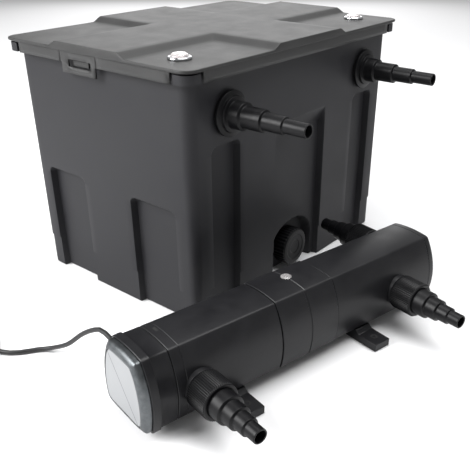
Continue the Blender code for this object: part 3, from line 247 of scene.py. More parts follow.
def badgePlate():
    # printed acrylic panel: pale grey that reads white in the key light, with a thin dark slanting rule
    made, tree, shader, coords = newMaterial("printedWhitePanel", {"Roughness": 0.28, "IOR": 1.49})
    slant = addNode(tree, "VectorMath", {"operation": "DOT_PRODUCT"}, [(0, coords)])
    # the rule lies where across . place = offset
    across, offset = (0.0, 0.78, -0.63), -0.2455
    slant.inputs[1].default_value = across
    line = addNode(tree, "Math", {"operation": "SUBTRACT"}, [(0, slant.outputs["Value"])])
    line.inputs[1].default_value = offset
    away = addNode(tree, "Math", {"operation": "ABSOLUTE"}, [(0, line.outputs[0])])
    edge = addNode(tree, "MapRange", {"From Min": 0.0004, "From Max": 0.0009},
                   [("Value", away.outputs[0])])
    mix = addNode(tree, "Mix", {"data_type": "RGBA"}, [(0, edge.outputs["Result"])])
    mix.inputs[6].default_value = hexColour("#303234")
    mix.inputs[7].default_value = hexColour("#86888a")
    tree.links.new(mix.outputs[2], shader.inputs["Base Color"])
    return made


badgeWhite = badgePlate()
print("materials made")

slotMaterials = {
    "tub_plastic": tubPlastic, "lid_plastic": lidPlastic, "fitting_plastic": fittingPlastic,
    "uv_plastic": clarifierPlastic, "seal_rubber": sealRubber, "chrome_trim": chromeTrim,
    "silver_trim": silverTrim, "badge_white": badgeWhite, "clear_plastic": clearPlastic,
    "quartz_glass": quartzGlass, "lamp_glass": lampGlass, "dial_plastic": dialPlastic,
    "inner_plastic": innerPlastic, "foam_blue": foamBlue, "foam_green": foamGreen,
    "foam_black": foamBlack, "media_net": mediaNet, "lamp_base": lampBase, "cord_rubber": cordRubber,
    "plug_plastic": plugPlastic,
}

slotOfNode = {row["node"]: row["material_slot"] for row in frame["record"]["subparts"]}
for nodeName, nodeObject in nodes.items():
    nodeObject.data.materials.clear()
    nodeObject.data.materials.append(slotMaterials[slotOfNode[nodeName]])


# ---- building surfaces
def smoothStep(value):
    # 3t^2 - 2t^3 with t held between 0 and 1
    t = np.clip(value, 0.0, 1.0)
    return t * t * (3.0 - 2.0 * t)


def addPiece(name, points, faces, slotName, body="filter", replaced=(), material=None, sharp=35.0):
    mesh = bpy.data.meshes.new(name)
    mesh.from_pydata(np.asarray(points, dtype=float).tolist(), [], faces)
    work = bmesh.new()
    work.from_mesh(mesh)
    bmesh.ops.remove_doubles(work, verts=work.verts, dist=0.000004)
    bmesh.ops.dissolve_degenerate(work, dist=0.000002, edges=work.edges)
    bmesh.ops.recalc_face_normals(work, faces=work.faces)
    work.to_mesh(mesh)
    work.free()
    mesh.shade_smooth()
    mesh.set_sharp_from_angle(angle=math.radians(sharp))
    piece = bpy.data.objects.new(name, mesh)
    bpy.context.scene.collection.objects.link(piece)
    mesh.materials.append(material or slotMaterials[slotName])
    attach(piece, body)
    if replaced:
        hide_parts(*replaced)
    return piece


def gridFaces(rows, columns, closedRows=False, closedColumns=True, start=0):
    # the quads of a grid whose point (i, k) is number start + i * columns + k
    i = np.arange(rows if closedRows else rows - 1)[:, None]
    k = np.arange(columns if closedColumns else columns - 1)[None, :]
    nextRow, nextColumn = (i + 1) % rows, (k + 1) % columns
    corners = np.stack([i * columns + k, i * columns + nextColumn, nextRow * columns + nextColumn,
                        nextRow * columns + k], axis=-1)
    return (start + corners.reshape(-1, 4)).tolist()


def filleted(profile, radius, steps=3):
    # each corner of an open profile gives way to a quadratic curve that starts and ends radius from it
    points = [np.array(p, dtype=float) for p in profile]
    done = [points[0]]
    for before, here, after in zip(points, points[1:], points[2:]):
        reachIn = min(radius, np.linalg.norm(here - before) * 0.45)
        reachOut = min(radius, np.linalg.norm(after - here) * 0.45)
        if reachIn < 1e-6 or reachOut < 1e-6:
            done.append(here)
            continue
        a = here + (before - here) / np.linalg.norm(before - here) * reachIn
        b = here + (after - here) / np.linalg.norm(after - here) * reachOut
        for t in np.linspace(0.0, 1.0, steps + 1):
            done.append((1 - t) ** 2 * a + 2 * t * (1 - t) * here + t ** 2 * b)
    done.append(points[-1])
    return np.array(done)


def axes(towards):
    # two unit vectors across a direction, and the direction
    along = Vector(towards).normalized()
    side = Vector((0.0, 0.0, 1.0)).cross(along) if abs(along.z) < 0.9 else Vector((1.0, 0.0, 0.0))
    side.normalize()
    return np.array(side), np.array(along.cross(side)), np.array(along)


def turnedPoints(profile, origin, towards, sides, wave=None):
    # point = origin + r(cos a * side + sin a * other) + h * along; wave(a, profile) adds to r
    side, other, along = axes(towards)
    angle = np.arange(sides) * 2.0 * math.pi / sides
    radius = np.repeat(profile[:, 0][:, None], sides, axis=1)
    if wave is not None:
        radius = radius + wave(angle[None, :], profile)
    spokes = np.cos(angle)[:, None] * side + np.sin(angle)[:, None] * other
    points = radius[:, :, None] * spokes[None] + profile[:, 1][:, None, None] * along + np.array(origin)
    return points.reshape(-1, 3)


def turnedPiece(name, profile, origin, towards, slotName, body="filter", replaced=(), sides=64,
                fillet=0.0005, solid=False, wave=None, sharp=35.0, material=None):
    # a ring's profile runs round its wall; a solid's starts and ends on the axis
    profile = [tuple(p) for p in profile]
    shaped = filleted(profile if solid else profile + profile[:1], fillet)
    if not solid:
        shaped = shaped[:-1]
    points = turnedPoints(shaped, origin, towards, sides, wave)
    faces = gridFaces(len(shaped), sides, closedRows=not solid)
    return addPiece(name, points, faces, slotName, body, replaced, material, sharp)


def fluted(ribs, depth, outer, power):
    # ribs on the outer skin: depth * max(0, cos(n a)) ^ power, only where the profile reaches outer
    def wave(angle, profile):
        on = smoothStep((profile[:, 0] - outer + 0.0012) / 0.0010)[:, None]
        return on * depth * np.maximum(0.0, np.cos(ribs * angle)) ** power
    return wave


def linesAlong(low, high, pitch, fine=()):
    # grid lines from low to high, at most pitch apart, and finer inside each (from, to, pitch) band
    stops = [low, high]
    for a, b, step in fine:
        count = max(1, int(round((b - a) / step)))
        stops.extend(np.linspace(a, b, count + 1).tolist())
    stops = np.unique(np.round([s for s in stops if low <= s <= high], 6))
    made = [stops[:1]]
    for a, b in zip(stops, stops[1:]):
        count = max(1, int(math.ceil((b - a) / pitch - 1e-6)))
        made.append(np.linspace(a, b, count + 1)[1:])
    return np.concatenate(made)


# ---- box tub
tub = {
    "halfX": 0.260, "halfY": 0.185, "corner": 0.018, "draft": 0.0030, "top": 0.3967, "wall": 0.004,
    "floor": 0.005, "bandTop": 0.057, "bandInset": 0.0015, "rimThick": 0.004, "rimReach": 0.0065,
    "recessDepth": 0.012, "recessCorner": 0.010, "edge": 0.0015,
    "endRecesses": ((0.059, 0.148, 0.190), (-0.146, -0.052, 0.187)),
    "longRecesses": ((-0.216, -0.155, 0.280), (0.157, 0.217, 0.280)),
    "middle": (-0.066, 0.068), "middleLow": 0.256, "middleHigh": 0.281,
    "pocketHalf": 0.056, "pocketStraight": 0.050, "pocketArch": 0.042, "pocketDepth": 0.018,
}


def archDepth(u, z, grow):
    # signed distance to a door shape with an elliptic top, running out at the bottom
    half, arch = tub["pocketHalf"] + grow, tub["pocketArch"] + grow
    above = np.maximum(z - tub["pocketStraight"], 0.0)
    norm = np.sqrt((u / half) ** 2 + (above / arch) ** 2)
    return (norm - 1.0) * np.minimum(half, arch)


def doorDepth(u, z, low, high, top, corner):
    # signed distance to a rectangle with rounded upper corners that runs out at the bottom
    centre, half = (low + high) / 2, (high - low) / 2
    a = np.abs(u - centre) - (half - corner)
    b = z - (top - corner)
    return np.hypot(np.maximum(a, 0.0), np.maximum(b, 0.0)) + np.minimum(np.maximum(a, b), 0.0) - corner


def wallInset(side, u, z, grow):
    # how far the wall stands behind its flat plane; grow widens each recess for the inner skin
    edge = tub["edge"]
    inset = np.zeros_like(z) if grow else np.where(z < tub["bandTop"], tub["bandInset"], 0.0)
    depth = tub["recessDepth"]
    recesses = tub["endRecesses"] if side in ("left", "right") else tub["longRecesses"]
    for low, high, top in recesses:
        away = doorDepth(u, z, low - grow, high + grow, top + grow, tub["recessCorner"] + grow)
        inset = np.maximum(inset, depth * smoothStep(0.5 - away / (2 * edge)))
    if side in ("front", "back"):
        low, high = tub["middle"]
        away = np.abs(u - (low + high) / 2) - (high - low) / 2 - grow
        across = smoothStep(0.5 - away / (2 * edge))
        drop = tub["middleHigh"] - tub["middleLow"]
        ramp = np.clip((tub["middleHigh"] + grow - z) / drop, 0.0, 1.0)
        inset = np.maximum(inset, depth * across * ramp)
    if side == "front":
        pocket = smoothStep(0.5 - archDepth(u, z, grow) / (2 * edge))
        inset = inset + tub["pocketDepth"] * pocket * (inset > depth * 0.5)
    return inset


def tubColumns():
    # points round the tub: side name, place along the side, base point and outward normal
    hx, hy, r = tub["halfX"], tub["halfY"], tub["corner"]
    halo, turn = 0.0024, tub["recessCorner"] + 0.001
    coarse = 0.012

    def bands(recesses):
        fine = []
        for low, high, top in recesses:
            fine += [(low - halo, low + turn, 0.0012), (high - turn, high + halo, 0.0012)]
        return fine
    middle = [(tub["middle"][0] - halo, tub["middle"][0] + halo, 0.0008),
              (tub["middle"][1] - halo, tub["middle"][1] + halo, 0.0008)]
    arch = [(-tub["pocketHalf"] - 0.002, tub["pocketHalf"] + 0.002, 0.0016)]
    ends = linesAlong(-hy + r, hy - r, coarse, bands(tub["endRecesses"]))
    front = linesAlong(-hx + r, hx - r, coarse, bands(tub["longRecesses"]) + middle + arch)
    back = linesAlong(-hx + r, hx - r, coarse, bands(tub["longRecesses"]) + middle)
    columns = []
    corner = np.linspace(0.0, math.pi / 2, 8)[1:-1]

    def side(name, along, base, normal):
        for u in along:
            columns.append((name, u, base(u), normal))

    def bend(cx, cy, start):
        for a in corner:
            n = (math.cos(start + a), math.sin(start + a))
            columns.append(("corner", 0.0, (cx + r * n[0], cy + r * n[1]), n))
    side("front", front, lambda u: (u, -hy), (0.0, -1.0))
    bend(hx - r, -hy + r, -math.pi / 2)
    side("right", ends, lambda u: (hx, u), (1.0, 0.0))
    bend(hx - r, hy - r, 0.0)
    side("back", back[::-1], lambda u: (u, hy), (0.0, 1.0))
    bend(-hx + r, hy - r, math.pi / 2)
    side("left", ends[::-1], lambda u: (-hx, u), (-1.0, 0.0))
    bend(-hx + r, -hy + r, math.pi)
    return columns


def tubPoints(columns, heights, extra, grow, inner):
    # point = base - normal * (draft + recess + extra) at each height, for a whole grid at once
    names = np.array([c[0] for c in columns])
    u = np.array([c[1] for c in columns])
    base = np.array([c[2] for c in columns])
    normal = np.array([c[3] for c in columns])
    z = np.repeat(np.asarray(heights)[:, None], len(u), axis=1)
    inset = np.zeros_like(z)
    for side in ("front", "right", "back", "left"):
        mask = names == side
        inset[:, mask] = wallInset(side, u[mask][None, :], z[:, mask], grow)
    corner = names == "corner"
    if not inner:
        inset[:, corner] = np.where(z[:, corner] < tub["bandTop"], tub["bandInset"], 0.0)
    total = tub["draft"] * (1.0 - z / tub["top"]) + inset + np.asarray(extra)[:, None]
    x = base[None, :, 0] - normal[None, :, 0] * total
    y = base[None, :, 1] - normal[None, :, 1] * total
    return np.stack([x, y, z], axis=-1)


def buildTub():
    columns = tubColumns()
    rimLow = tub["top"] - tub["rimThick"]
    # finer rows at the foot, the band's step, the arch and the tops of the recesses
    fineRows = [(0.0, 0.004, 0.001), (0.0545, 0.0590, 0.0006), (0.046, 0.096, 0.0016),
                (0.175, 0.1925, 0.0012), (0.2535, 0.2585, 0.0012), (0.2685, 0.2830, 0.0012)]
    heights = linesAlong(0.0, rimLow, 0.014, fineRows)
    footRadius, edge = 0.002, 0.0006
    foot = footRadius * (1.0 - np.sqrt(np.clip(heights / footRadius, 0.0, 1.0)))
    outer = tubPoints(columns, heights, foot, 0.0, False)
    reach = tub["rimReach"]
    rimRows = [(rimLow, -reach + edge), (rimLow + edge, -reach), (tub["top"] - edge, -reach),
               (tub["top"], -reach + edge), (tub["top"], tub["wall"] - 0.0008)]
    rim = tubPoints(columns, [r[0] for r in rimRows], [r[1] for r in rimRows], 0.0, False)
    inside = tub["wall"] + tub["bandInset"]
    innerRows = [(0.046, 0.100, 0.003), (0.184, 0.197, 0.002), (0.255, 0.290, 0.003)]
    innerHeights = linesAlong(tub["floor"], tub["top"] - 0.001, 0.020, innerRows)[::-1]
    insets = np.full(len(innerHeights), inside)
    inner = tubPoints(columns, innerHeights, insets, tub["wall"], True)
    grid = np.concatenate([outer, rim, inner])
    rows, count = grid.shape[:2]
    faces = gridFaces(rows, count)
    faces.append(list(range(count)))
    faces.append([(rows - 1) * count + k for k in range(count)])
    addPiece("tubShell", grid.reshape(-1, 3), faces, "tub_plastic", replaced=("tank_shell",),
             sharp=50.0)


def prism(outline, low, high):
    # an outline lifted from low to high, with both ends closed
    count = len(outline)
    points = [(x, y, low) for x, y in outline] + [(x, y, high) for x, y in outline]
    faces = gridFaces(2, count) + [list(range(count)), list(range(count, 2 * count))]
    return points, faces


def arcPoints(cx, cy, rx, ry, start, end, steps):
    angle = np.radians(np.linspace(start, end, steps + 1))
    return list(zip((cx + rx * np.cos(angle)).tolist(), (cy + ry * np.sin(angle)).tolist()))


tubCorner = {"halfX": 0.2715, "halfY": 0.1965, "radius": 0.0165, "reach": 0.026, "low": 0.3795,
             "high": 0.3927, "innerX": (0.254, 0.248), "innerY": (0.173, 0.179)}
catchNib = {"x": (0.257, 0.268), "y": (0.002, 0.036), "low": 0.3755, "high": 0.3830}


def buildTubCorners():
    # solid corners that close the notches of the lid skirt
    hx, hy = tubCorner["halfX"], tubCorner["halfY"]
    r, reach = tubCorner["radius"], tubCorner["reach"]
    innerX, innerY = tubCorner["innerX"], tubCorner["innerY"]
    for sx in (-1, 1):
        for sy in (-1, 1):
            outline = [(hx - reach, innerY[1]), (hx - reach, hy)]
            outline += arcPoints(hx - r, hy - r, r, r, 90, 0, 10)
            outline += [(hx, hy - reach), (innerX[0], hy - reach), (innerX[1], innerY[0])]
            outline = [(sx * x, sy * y) for x, y in outline]
            points, faces = prism(outline, tubCorner["low"], tubCorner["high"])
            addPiece(f"tubCorner_{sx + 1}_{sy + 1}", points, faces, "tub_plastic")
    for sx in (-1, 1):
        (x0, x1), (y0, y1) = catchNib["x"], catchNib["y"]
        nib = [(sx * x0, y0), (sx * x1, y0), (sx * x1, y1), (sx * x0, y1)]
        points, faces = prism(nib, catchNib["low"], catchNib["high"])
        # the nibs are part of the tub, but take the lid's lighter plastic as a painted highlight on
        # them
        addPiece(f"catchNib_{sx + 1}", points, faces, "lid_plastic")


buildTub()
buildTubCorners()
print("tub built")

# ---- lid
lid = {
    "halfX": 0.275, "halfY": 0.200, "corner": 0.020, "pad": 0.400, "rise": 0.008, "armX": 0.068,
    "armY": 0.080, "slope": 0.016, "lip": 0.004, "skirtInset": 0.0035, "skirtLow": 0.379,
    "tabLow": 0.364, "wall": 0.003, "notch": 0.029, "catch": (-0.007, 0.045), "tab": (-0.016, 0.060),
    "slotLow": 0.3735, "slotHigh": 0.3845, "slits": ((-0.020, -0.0185), (0.0625, 0.0640)),
}


def lidHeight(x, y):
    # pads at the low level; each arm of the cross rises on a straight slope, eased at foot and brow
    def arm(distance, half):
        t = np.clip((half + lid["slope"] - np.abs(distance)) / lid["slope"], 0.0, 1.0)
        return 0.75 * t + 0.25 * smoothStep(t)
    return lid["pad"] + lid["rise"] * np.maximum(arm(y, lid["armX"]), arm(x, lid["armY"]))


def buildLid():
    hx, hy, r = lid["halfX"], lid["halfY"], lid["corner"]
    notchX = hx - lid["skirtInset"] - lid["notch"]
    notchY = hy - lid["skirtInset"] - lid["notch"]
    coarse, fine = 0.012, 0.002

    def bands(arm, half):
        # fine lines on both slopes of an arm of the cross and across both rounded corners
        return [(arm, arm + lid["slope"], fine), (-arm - lid["slope"], -arm, fine),
                (half - r, half, fine), (-half, -half + r, fine)]

    def marks(*places):
        return [(v, v, 1.0) for v in places]

    marksY = marks(*lid["catch"], *lid["tab"], *lid["slits"][0], *lid["slits"][1], -notchY, notchY)
    xs = linesAlong(-hx, hx, coarse, bands(lid["armY"], hx) + marks(-notchX, notchX))
    ys = linesAlong(-hy, hy, coarse, bands(lid["armX"], hy) + marksY)
    gx, gy = np.meshgrid(xs, ys, indexing="ij")

    def rounded(gx, gy, inset):
        # the square corner (a, b) of a corner cell goes to the quarter disc by max(a, b) / hypot(a, b)
        a = (np.abs(gx) - (hx - r)) / r
        b = (np.abs(gy) - (hy - r)) / r
        inCorner = (a > 0) & (b > 0)
        scale = np.where(inCorner, np.maximum(a, b) / np.maximum(np.hypot(a, b), 1e-9), 1.0)
        x = np.where(inCorner, np.sign(gx) * (hx - r + r * a * scale), gx)
        y = np.where(inCorner, np.sign(gy) * (hy - r + r * b * scale), gy)
        return x * (hx - inset) / hx, y * (hy - inset) / hy

    px, py = rounded(gx, gy, 0.0012)
    top = np.stack([px, py, lidHeight(px, py)], axis=-1)
    rows, columns = top.shape[:2]
    number = np.arange(rows * columns).reshape(rows, columns)
    faces = gridFaces(rows, columns, closedColumns=False)
    loop = np.concatenate([number[:, 0], number[-1, 1:], number[-2::-1, -1], number[0, -2:0:-1]])
    bx, by = gx.reshape(-1)[loop], gy.reshape(-1)[loop]
    brow = lidHeight(bx, by)
    lipLow = lid["pad"] - lid["lip"]
    inset = lid["skirtInset"]
    profile = [(0.00035, brow - 0.00035), (0.0, brow - 0.0012), (0.0, lipLow + 0.0006),
               (0.0006, lipLow)]
    for level in (lipLow - 0.0002, lipLow - 0.0015, lid["slotHigh"], lid["skirtLow"], lid["slotLow"],
                  lid["tabLow"]):
        profile.append((inset, level))
    points = [top.reshape(-1, 3)]
    for away, level in profile:
        x, y = rounded(bx, by, away)
        points.append(np.stack([x, y, np.broadcast_to(level, x.shape)], axis=-1))
    start, count = rows * columns, len(loop)
    ring = [loop] + [start + i * count + np.arange(count) for i in range(len(profile))]
    nextX, nextY = np.roll(bx, -1), np.roll(by, -1)
    midX, midY = (bx + nextX) / 2, (by + nextY) / 2
    inNotch = (np.abs(midX) > notchX) & (np.abs(midY) > notchY)
    onEnd = np.abs(midX) > hx - 0.0005

    def onEndBetween(span):
        return onEnd & (midY > span[0]) & (midY < span[1])

    inCatch, inTab = onEndBetween(lid["catch"]), onEndBetween(lid["tab"])
    inSlit = onEndBetween(lid["slits"][0]) | onEndBetween(lid["slits"][1])
    # bands of the skirt, from the top: plain to row 6, then notched; the slot; only the tabs hang below
    notched, slotRows, hanging = 6, (7, 8), 8
    for i in range(len(ring) - 1):
        keep = np.ones(count, dtype=bool)
        if i >= notched:
            keep &= ~inNotch & ~inSlit
        if i in slotRows:
            keep &= ~inCatch
        if i >= hanging:
            keep &= inTab
        a, b = ring[i], ring[i + 1]
        quads = np.stack([a, b, np.roll(b, -1), np.roll(a, -1)], axis=-1)
        faces += quads[keep].tolist()
    piece = addPiece("lidShell", np.concatenate(points), faces, "lid_plastic", "lid", ("lid_shell",),
                     sharp=40.0)
    # the open skin gets its wall on the inside; its normals point out before that
    work = bmesh.new()
    work.from_mesh(piece.data)
    bmesh.ops.delete(work, geom=[v for v in work.verts if not v.link_faces], context="VERTS")
    highest = max(work.faces, key=lambda f: f.calc_center_median().z)
    if highest.normal.z < 0:
        bmesh.ops.reverse_faces(work, faces=work.faces)
    work.to_mesh(piece.data)
    work.free()
    wall = piece.modifiers.new("wall", "SOLIDIFY")
    wall.thickness = lid["wall"]
    wall.offset = -1.0


buildLid()

sight = {
    "place": (0.222, -0.136, 0.4003), "sides": 64,
    "ring": [(0.0131, 0.0), (0.0170, 0.0), (0.0170, 0.0020), (0.0160, 0.0034), (0.0140, 0.0040),
             (0.0131, 0.0032)],
    # radius, height of the springing and rise of each skin of the dome
    "outer": (0.0128, 0.0040, 0.0052), "inner": (0.0112, 0.0038, 0.0039),
}


def domeCurve(radius, springing, rise):
    angle = np.radians(np.linspace(0, 90, 12))
    return np.stack([radius * np.cos(angle), springing + rise * np.sin(angle)], axis=-1)


def buildSight(side, sx):
    # chromed ring and glassy dome on a corner pad
    x, y, z = sight["place"]
    spot = (sx * x, y, z)
    turnedPiece(f"domeRing_{side}", sight["ring"], spot, (0, 0, 1), "chrome_trim", "lid",
                (f"sight_bezel_{side}",), 72, 0.0009)
    foot = [[sight["inner"][0], 0.0], [sight["outer"][0], 0.0]]
    profile = np.concatenate([domeCurve(*sight["outer"]), domeCurve(*sight["inner"])[::-1], foot])
    points = turnedPoints(profile, spot, (0, 0, 1), sight["sides"])
    faces = gridFaces(len(profile), sight["sides"], closedRows=True)
    addPiece(f"dome_{side}", points, faces, "clear_plastic", "lid", (f"sight_lens_{side}",))


buildSight("near", -1)
buildSight("far", 1)
print("lid built")

# ---- box fittings
fitting = {
    "tailX": 0.180, "tailZ": 0.325, "tailLength": 0.1365, "drainZ": 0.041, "capLength": 0.0270,
    # profiles are (radius, distance out from the wall): shank, flange and collar, then the four hose
    # steps, and back along the bore
    "tail": [(0.0190, -0.030), (0.0225, -0.030), (0.0225, 0.0023), (0.0330, 0.0023), (0.0330, 0.0075),
             (0.0260, 0.0085), (0.0260, 0.0135), (0.0200, 0.0140), (0.0200, 0.0315), (0.0160, 0.0330),
             (0.0160, 0.0655), (0.0125, 0.0665), (0.0125, 0.0995), (0.0100, 0.1005), (0.0100, 0.1365),
             (0.0080, 0.1365), (0.0080, 0.0980), (0.0135, 0.0600), (0.0135, 0.0310), (0.0175, 0.0240)],
    "cap": [(0.0, 0.0183), (0.0256, 0.0183), (0.0256, 0.0043), (0.0325, 0.0043), (0.0325, 0.0250),
            (0.0305, 0.0270), (0.0230, 0.0270), (0.0222, 0.0262), (0.0130, 0.0262), (0.0122, 0.0252),
            (0.0, 0.0252)],
    "nutBore": 0.0230, "nutRadius": 0.0320,
}


def frontAndBack(node):
    # where a CAD node begins and ends along y, so that its piece stands on it
    low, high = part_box(node)
    return low[1], high[1]


def buildTail(name, x):
    face = frontAndBack(f"{name}_tail")[0] + fitting["tailLength"]
    turnedPiece(f"{name}Tail", fitting["tail"], (x, face, fitting["tailZ"]), (0, -1, 0),
                "fitting_plastic", replaced=(f"{name}_tail",), sides=72, fillet=0.0008)


def buildNut(name, node, body, origin, profile, ribs, depth, outer, solid=False):
    turnedPiece(name, profile, origin, (0, -1, 0), "fitting_plastic", body, (node,), sides=ribs * 6,
                fillet=0.0006, solid=solid, wave=fluted(ribs, depth, outer, 0.8), sharp=40.0)


sidesOfBox = (("inlet", -fitting["tailX"]), ("outlet", fitting["tailX"]))
for name, x in sidesOfBox:
    buildTail(name, x)
for name, x in sidesOfBox:
    front, back = frontAndBack(f"{name}_lock_nut")
    thick, bore, outer = back - front, fitting["nutBore"], fitting["nutRadius"]
    buildNut(f"{name}LockNut", f"{name}_lock_nut", f"{name}_nut", (x, back, fitting["tailZ"]),
             [(bore, 0.0), (outer, 0.0), (outer, thick), (bore, thick)], 24, 0.0018, outer)
capFace = frontAndBack("drain_cap")[0] + fitting["capLength"]
buildNut("drainCap", "drain_cap", "drain_cap_body", (0.0, capFace, fitting["drainZ"]), fitting["cap"],
         36, 0.0013, 0.0325, solid=True)
print("fittings built")

# ---- clarifier: everything is set out along its own tube and turned into place
clarifier = {
    "turn": math.radians(-12.3), "front": 0.355, "axisZ": 0.064, "rim": -0.395, "seam": -0.358,
    "collar": (-0.191, -0.087), "end": 0.128, "topHalf": 0.033, "lowHalf": 0.046, "topZ": 0.1155,
    "lowZ": 0.018, "bulges": (0.0030, 0.0115, 0.0030, 0.0115), "spacing": 0.0012,
}
turnedFrame = np.array(Matrix.Rotation(clarifier["turn"], 3, "Z"))
middle = np.array([0.0, clarifier["axisZ"]])


def inPlace(points):
    # from the clarifier's own frame to the shared one
    return np.asarray(points) @ turnedFrame.T


def eased(loop, times):
    # each point gives a quarter of itself to each neighbour, again and again
    for _ in range(times):
        loop = 0.25 * np.roll(loop, 1, axis=0) + 0.5 * loop + 0.25 * np.roll(loop, -1, axis=0)
    return loop


def clarifierOutline():
    # four bulged sides, chord + out * 4 b t (1 - t), resampled evenly and eased at the ridges
    top, low = clarifier["topHalf"], clarifier["lowHalf"]
    corners = [(top, clarifier["topZ"]), (-top, clarifier["topZ"]),
               (-low, clarifier["lowZ"]), (low, clarifier["lowZ"])]
    sides = []
    t = np.linspace(0.0, 1.0, 60, endpoint=False)[:, None]
    for i, bulge in enumerate(clarifier["bulges"]):
        a, b = np.array(corners[i]), np.array(corners[(i + 1) % 4])
        chord = b - a
        out = np.array([-chord[1], chord[0]]) / np.linalg.norm(chord)
        if np.dot(out, a - middle) < 0:
            out = -out
        sides.append(a + chord * t + out * bulge * 4 * t * (1 - t))
    loop = np.concatenate(sides)
    closed = np.concatenate([loop, loop[:1]])
    length = np.concatenate([[0.0], np.cumsum(np.linalg.norm(np.diff(closed, axis=0), axis=1))])
    count = int(round(length[-1] / clarifier["spacing"]))
    at = np.arange(count) * length[-1] / count
    even = np.stack([np.interp(at, length, closed[:, 0]), np.interp(at, length, closed[:, 1])], axis=-1)
    even = eased(even, 3)
    tangent = np.roll(even, -1, axis=0) - np.roll(even, 1, axis=0)
    normal = np.stack([-tangent[:, 1], tangent[:, 0]], axis=-1)
    normal = normal / np.linalg.norm(tangent, axis=1)[:, None]
    if np.sum(normal * (even - middle)) < 0:
        normal = -normal
    return even, normal


outline, outlineNormal = clarifierOutline()
softOutline = eased(outline, 50)


def sectionPiece(name, sections, slotName, replaced, closed=True):
    # sections are (along, outline there); a closed piece's last section joins its first
    rings = [np.column_stack([np.full(len(flat), along), flat[:, 0] - clarifier["front"], flat[:, 1]])
             for along, flat in sections]
    count = len(outline)
    faces = gridFaces(len(rings), count, closedRows=closed)
    if not closed:
        faces += [list(range(count)), [(len(rings) - 1) * count + k for k in range(count)]]
    addPiece(name, inPlace(np.concatenate(rings)), faces, slotName, replaced=replaced)


def lofted(name, rows, replaced):
    # rows are (along, grow) for the outline grown outwards, or (along, 0, radius) for a circle
    spokes = outline - middle
    spokes = spokes / np.linalg.norm(spokes, axis=1)[:, None]
    sections = []
    for along, grow, *radius in rows:
        flat = spokes * radius[0] + middle if radius else outline + outlineNormal * grow
        sections.append((along, flat))
    sectionPiece(name, sections, "uv_plastic", replaced)


def faceLoft(name, rows, slotName, replaced, closed):
    # rows are (along, inset): the outline shrinks towards the axis by inset and grows rounder
    sections = []
    for along, inset in rows:
        soft = smoothStep((inset - 0.0006) / 0.006)
        flat = outline * (1 - soft) + softOutline * soft
        reach = np.linalg.norm(flat - middle, axis=1)[:, None]
        sections.append((along, middle + (flat - middle) * (1 - inset / reach)))
    sectionPiece(name, sections, slotName, replaced, closed)


def buildHead():
    seam, rim = clarifier["seam"] - 0.0004, clarifier["rim"]
    lofted("lampHead", [
        (seam, -0.0007), (seam - 0.0007, 0.0), (rim + 0.0122, 0.0), (rim + 0.0119, 0.0002),
        (rim + 0.0116, 0.0018), (rim + 0.0111, 0.0022), (rim + 0.0007, 0.0022), (rim, 0.0015),
        (rim, -0.0020), (seam - 0.004, -0.0040), (seam - 0.004, 0.0, 0.0264), (seam, 0.0, 0.0264),
    ], ("lamp_head",))


def groove(start, end):
    # rows of a shallow V groove
    return [(start, 0.0), ((start + end) / 2, -0.0006), (end, 0.0)]


def buildHousings():
    left, rightSide = clarifier["collar"]
    joint = (left + rightSide) / 2
    begin = clarifier["seam"] + 0.0004
    lofted("housingFront", [
        (begin, -0.0055), (begin, -0.0007), (begin + 0.0007, 0.0), *groove(-0.3440, -0.3425),
        (left - 0.0012, 0.0), (left - 0.0005, -0.0007), (left - 0.0005, -0.0020),
        (joint - 0.003, -0.0020), (joint - 0.003, -0.0055),
    ], ("housing_front",))
    # the head's catch slot is not cut: a thin dark plate on the upper side is painted shade where the
    # slot lies
    (x0, x1), (y0, y1) = (-0.3500, -0.3462), (-0.3580, -0.3400)
    points, faces = prism([(x0, y0), (x1, y0), (x1, y1), (x0, y1)], 0.1170, 0.1184)
    addPiece("catchSlotShade", inPlace(points), faces, "seal_rubber")
    end = clarifier["end"]
    lofted("housingRear", [
        (joint + 0.003, -0.0055), (joint + 0.003, -0.0020), (rightSide + 0.0005, -0.0020),
        (rightSide + 0.0005, -0.0007), (rightSide + 0.0012, 0.0), *groove(end - 0.0120, end - 0.0105),
        (end - 0.003, 0.0), (end - 0.0012, -0.0006), (end - 0.0002, -0.0020), (end, -0.0034),
        (end + 0.003, 0.0, 0.0200), (end + 0.003, 0.0, 0.0132), (end - 0.003, 0.0, 0.0132),
        (end - 0.006, -0.0060),
    ], ("housing_rear",))
    proud = 0.0012
    lofted("couplingCollar", [
        (left + 0.0003, -0.0016), (left + 0.0003, proud - 0.0006), (left + 0.0009, proud),
        (joint - 0.0018, proud), (joint - 0.0010, 0.0002), (joint + 0.0010, 0.0002),
        (joint + 0.0018, proud), (rightSide - 0.0009, proud), (rightSide - 0.0003, proud - 0.0006),
        (rightSide - 0.0003, -0.0016),
    ], ("coupling_collar",))


def buildEndFace():
    rim = clarifier["rim"] - 0.0003
    faceLoft("endFrame", [
        (rim, 0.0006), (rim - 0.0042, 0.0006), (rim - 0.0062, 0.0012), (rim - 0.0084, 0.0030),
        (rim - 0.0102, 0.0058), (rim - 0.0112, 0.0082), (rim - 0.0112, 0.0094), (rim - 0.0090, 0.0100),
    ], "silver_trim", ("end_bezel",), True)
    badge = rim - 0.0093
    faceLoft("endPanel", [(badge, 0.0103), (badge - 0.0012, 0.0103), (badge - 0.0018, 0.0109)],
             "badge_white", ("badge_plate",), False)


def uvTurned(name, profile, along, towards, height, slotName, **more):
    origin = inPlace([(along, -clarifier["front"], height)])[0]
    direction = inPlace([towards])[0]
    return turnedPiece(name, profile, origin, direction, slotName, **more)


# along the tube, height, direction
ports = {"inlet": (-0.325, 0.058, (0, -1, 0)), "outlet": (0.042, 0.058, (0, -1, 0)),
         "return": (0.097, 0.074, (0, 1, 0))}
